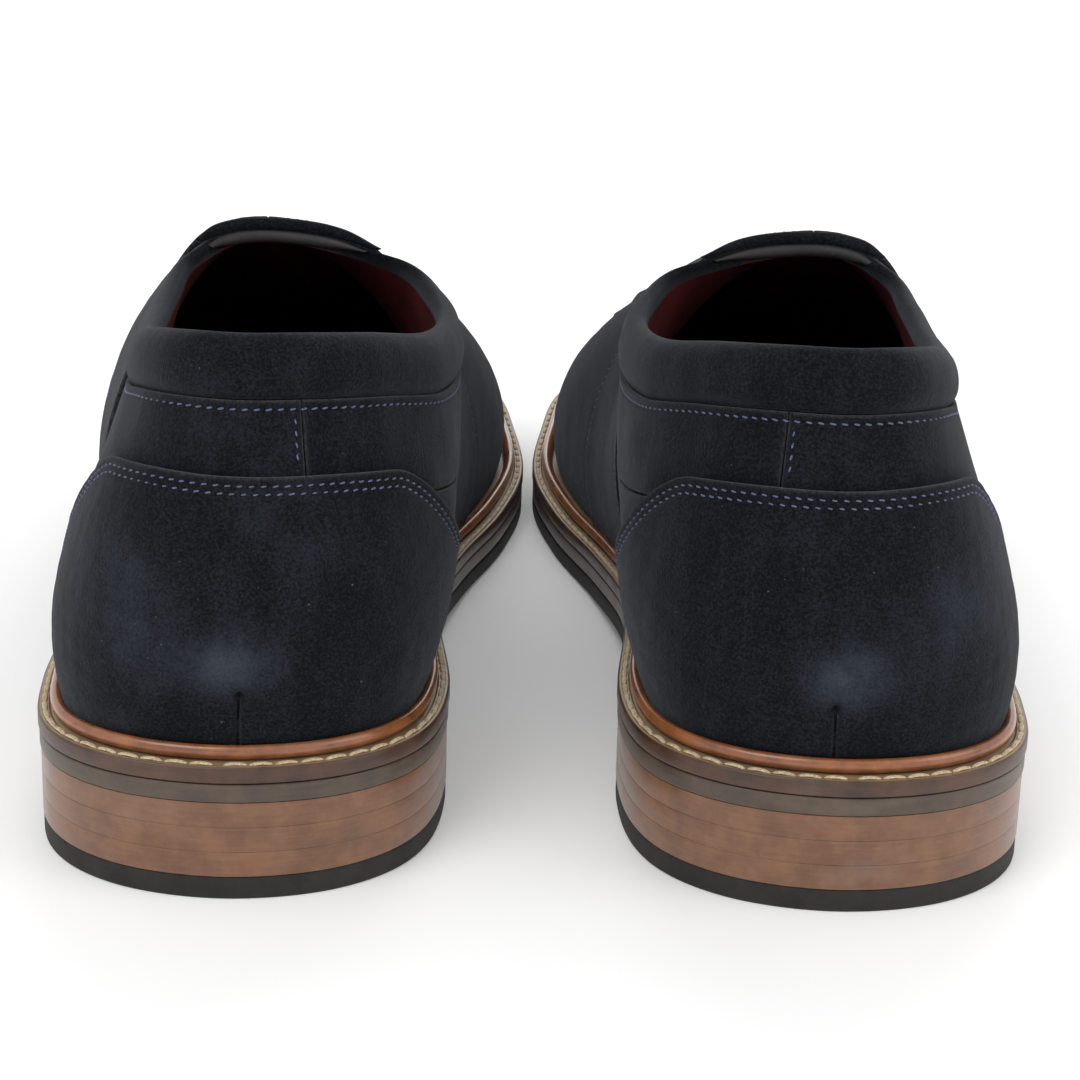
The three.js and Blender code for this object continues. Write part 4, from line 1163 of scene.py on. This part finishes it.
for name, (build, finish) in pieces.items():
    points, faces, *marks = build()
    nodes = STANDS_FOR.get(name, [name])
    for side in ("left", "right"):
        sharp = None if finish == "suede" else SHARP_ANGLE
        piece = make_piece(name, points, faces, finishes[finish], side, marks, sharp)
        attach(piece, f"{side}_shoe")
        if nodes:
            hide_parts(*(f"{side}_{node}" for node in nodes))


# ---- floor, light and camera ---------------------------------------------------------------------
def show(name, data, matrix=None):
    """Object in the scene, placed by a matrix if it has one."""
    made = bpy.data.objects.new(name, data)
    if matrix is not None:
        made.matrix_world = matrix
    bpy.context.scene.collection.objects.link(made)
    return made


def axes_at(right, up, back, place):
    """Matrix with the three axes as columns and a place in metres."""
    rows = [[right[k], up[k], back[k], place[k]] for k in range(3)]
    return Matrix([*rows, [0, 0, 0, 1]])


def floor():
    """Pale sheet that rises far behind: its height grows with the square of the way past the edge."""
    across, along = np.linspace(-3.0, 3.0, 13), np.linspace(-2.0, 3.2, 53)
    across, along = np.meshgrid(across, along, indexing="ij")
    height = np.maximum(along - 1.6, 0) ** 2 * 0.6
    mesh = bpy.data.meshes.new("floor")
    points = np.stack([across, along, height], -1)
    mesh.from_pydata(points.reshape(-1, 3).tolist(), [], grid_faces(*height.shape).tolist())
    mesh.shade_smooth()
    f = Finish("floor", Roughness=0.9, Emission_Color=(1, 1, 1, 1), Emission_Strength=0.1)
    tone = f.blend(f.noise(400, 2.0) * 0.2, shade(246, 246, 246), shade(240, 240, 240))
    mesh.materials.append(f.done(Base_Color=tone))
    return show("floor", mesh)


def lamp(name, place, towards, size, power):
    """Round soft light that faces a point."""
    light = bpy.data.lights.new(name, "AREA")
    light.shape, light.size, light.energy = "DISK", size, power
    away = unit(np.array(place, float) - np.array(towards, float))
    right = unit(np.cross(UP, away))
    return show(name, light, axes_at(right, np.cross(away, right), away, place))


floor()
world = bpy.data.worlds.new("studio")
world.use_nodes = True
sky = world.node_tree.nodes["Background"].inputs
sky["Color"].default_value, sky["Strength"].default_value = (1, 1, 1, 1), 0.75
bpy.context.scene.world = world
lamp("key", (-0.9, -1.1, 1.9), (0, 0, 0), 1.4, 16)
lamp("fill", (1.6, -0.6, 1.1), (0, 0, 0.05), 1.4, 8)
lamp("back", (0.2, 1.8, 1.5), (0, 0, 0), 1.6, 14)
bpy.context.scene.view_settings.view_transform = "Standard"

CAMERA_PLACE = np.array([-8.14, -552.0, 206.09]) * MM
YAW, PITCH, ROLL = np.radians([1.09, 19.16, 1.72])
ahead = np.array([np.sin(YAW) * np.cos(PITCH), np.cos(YAW) * np.cos(PITCH), -np.sin(PITCH)])
level_right = np.array([np.cos(YAW), -np.sin(YAW), 0])
level_up = np.cross(level_right, ahead)
camera_right = level_right * np.cos(ROLL) + level_up * np.sin(ROLL)
camera_up = level_up * np.cos(ROLL) - level_right * np.sin(ROLL)
lens = bpy.data.cameras.new("camera")
lens.sensor_width, lens.lens, lens.clip_start = 36.0, 86.066, 0.01
camera = show("camera", lens, axes_at(camera_right, camera_up, -ahead, CAMERA_PLACE))
bpy.context.scene.camera = camera

bpy.context.view_layer.update()
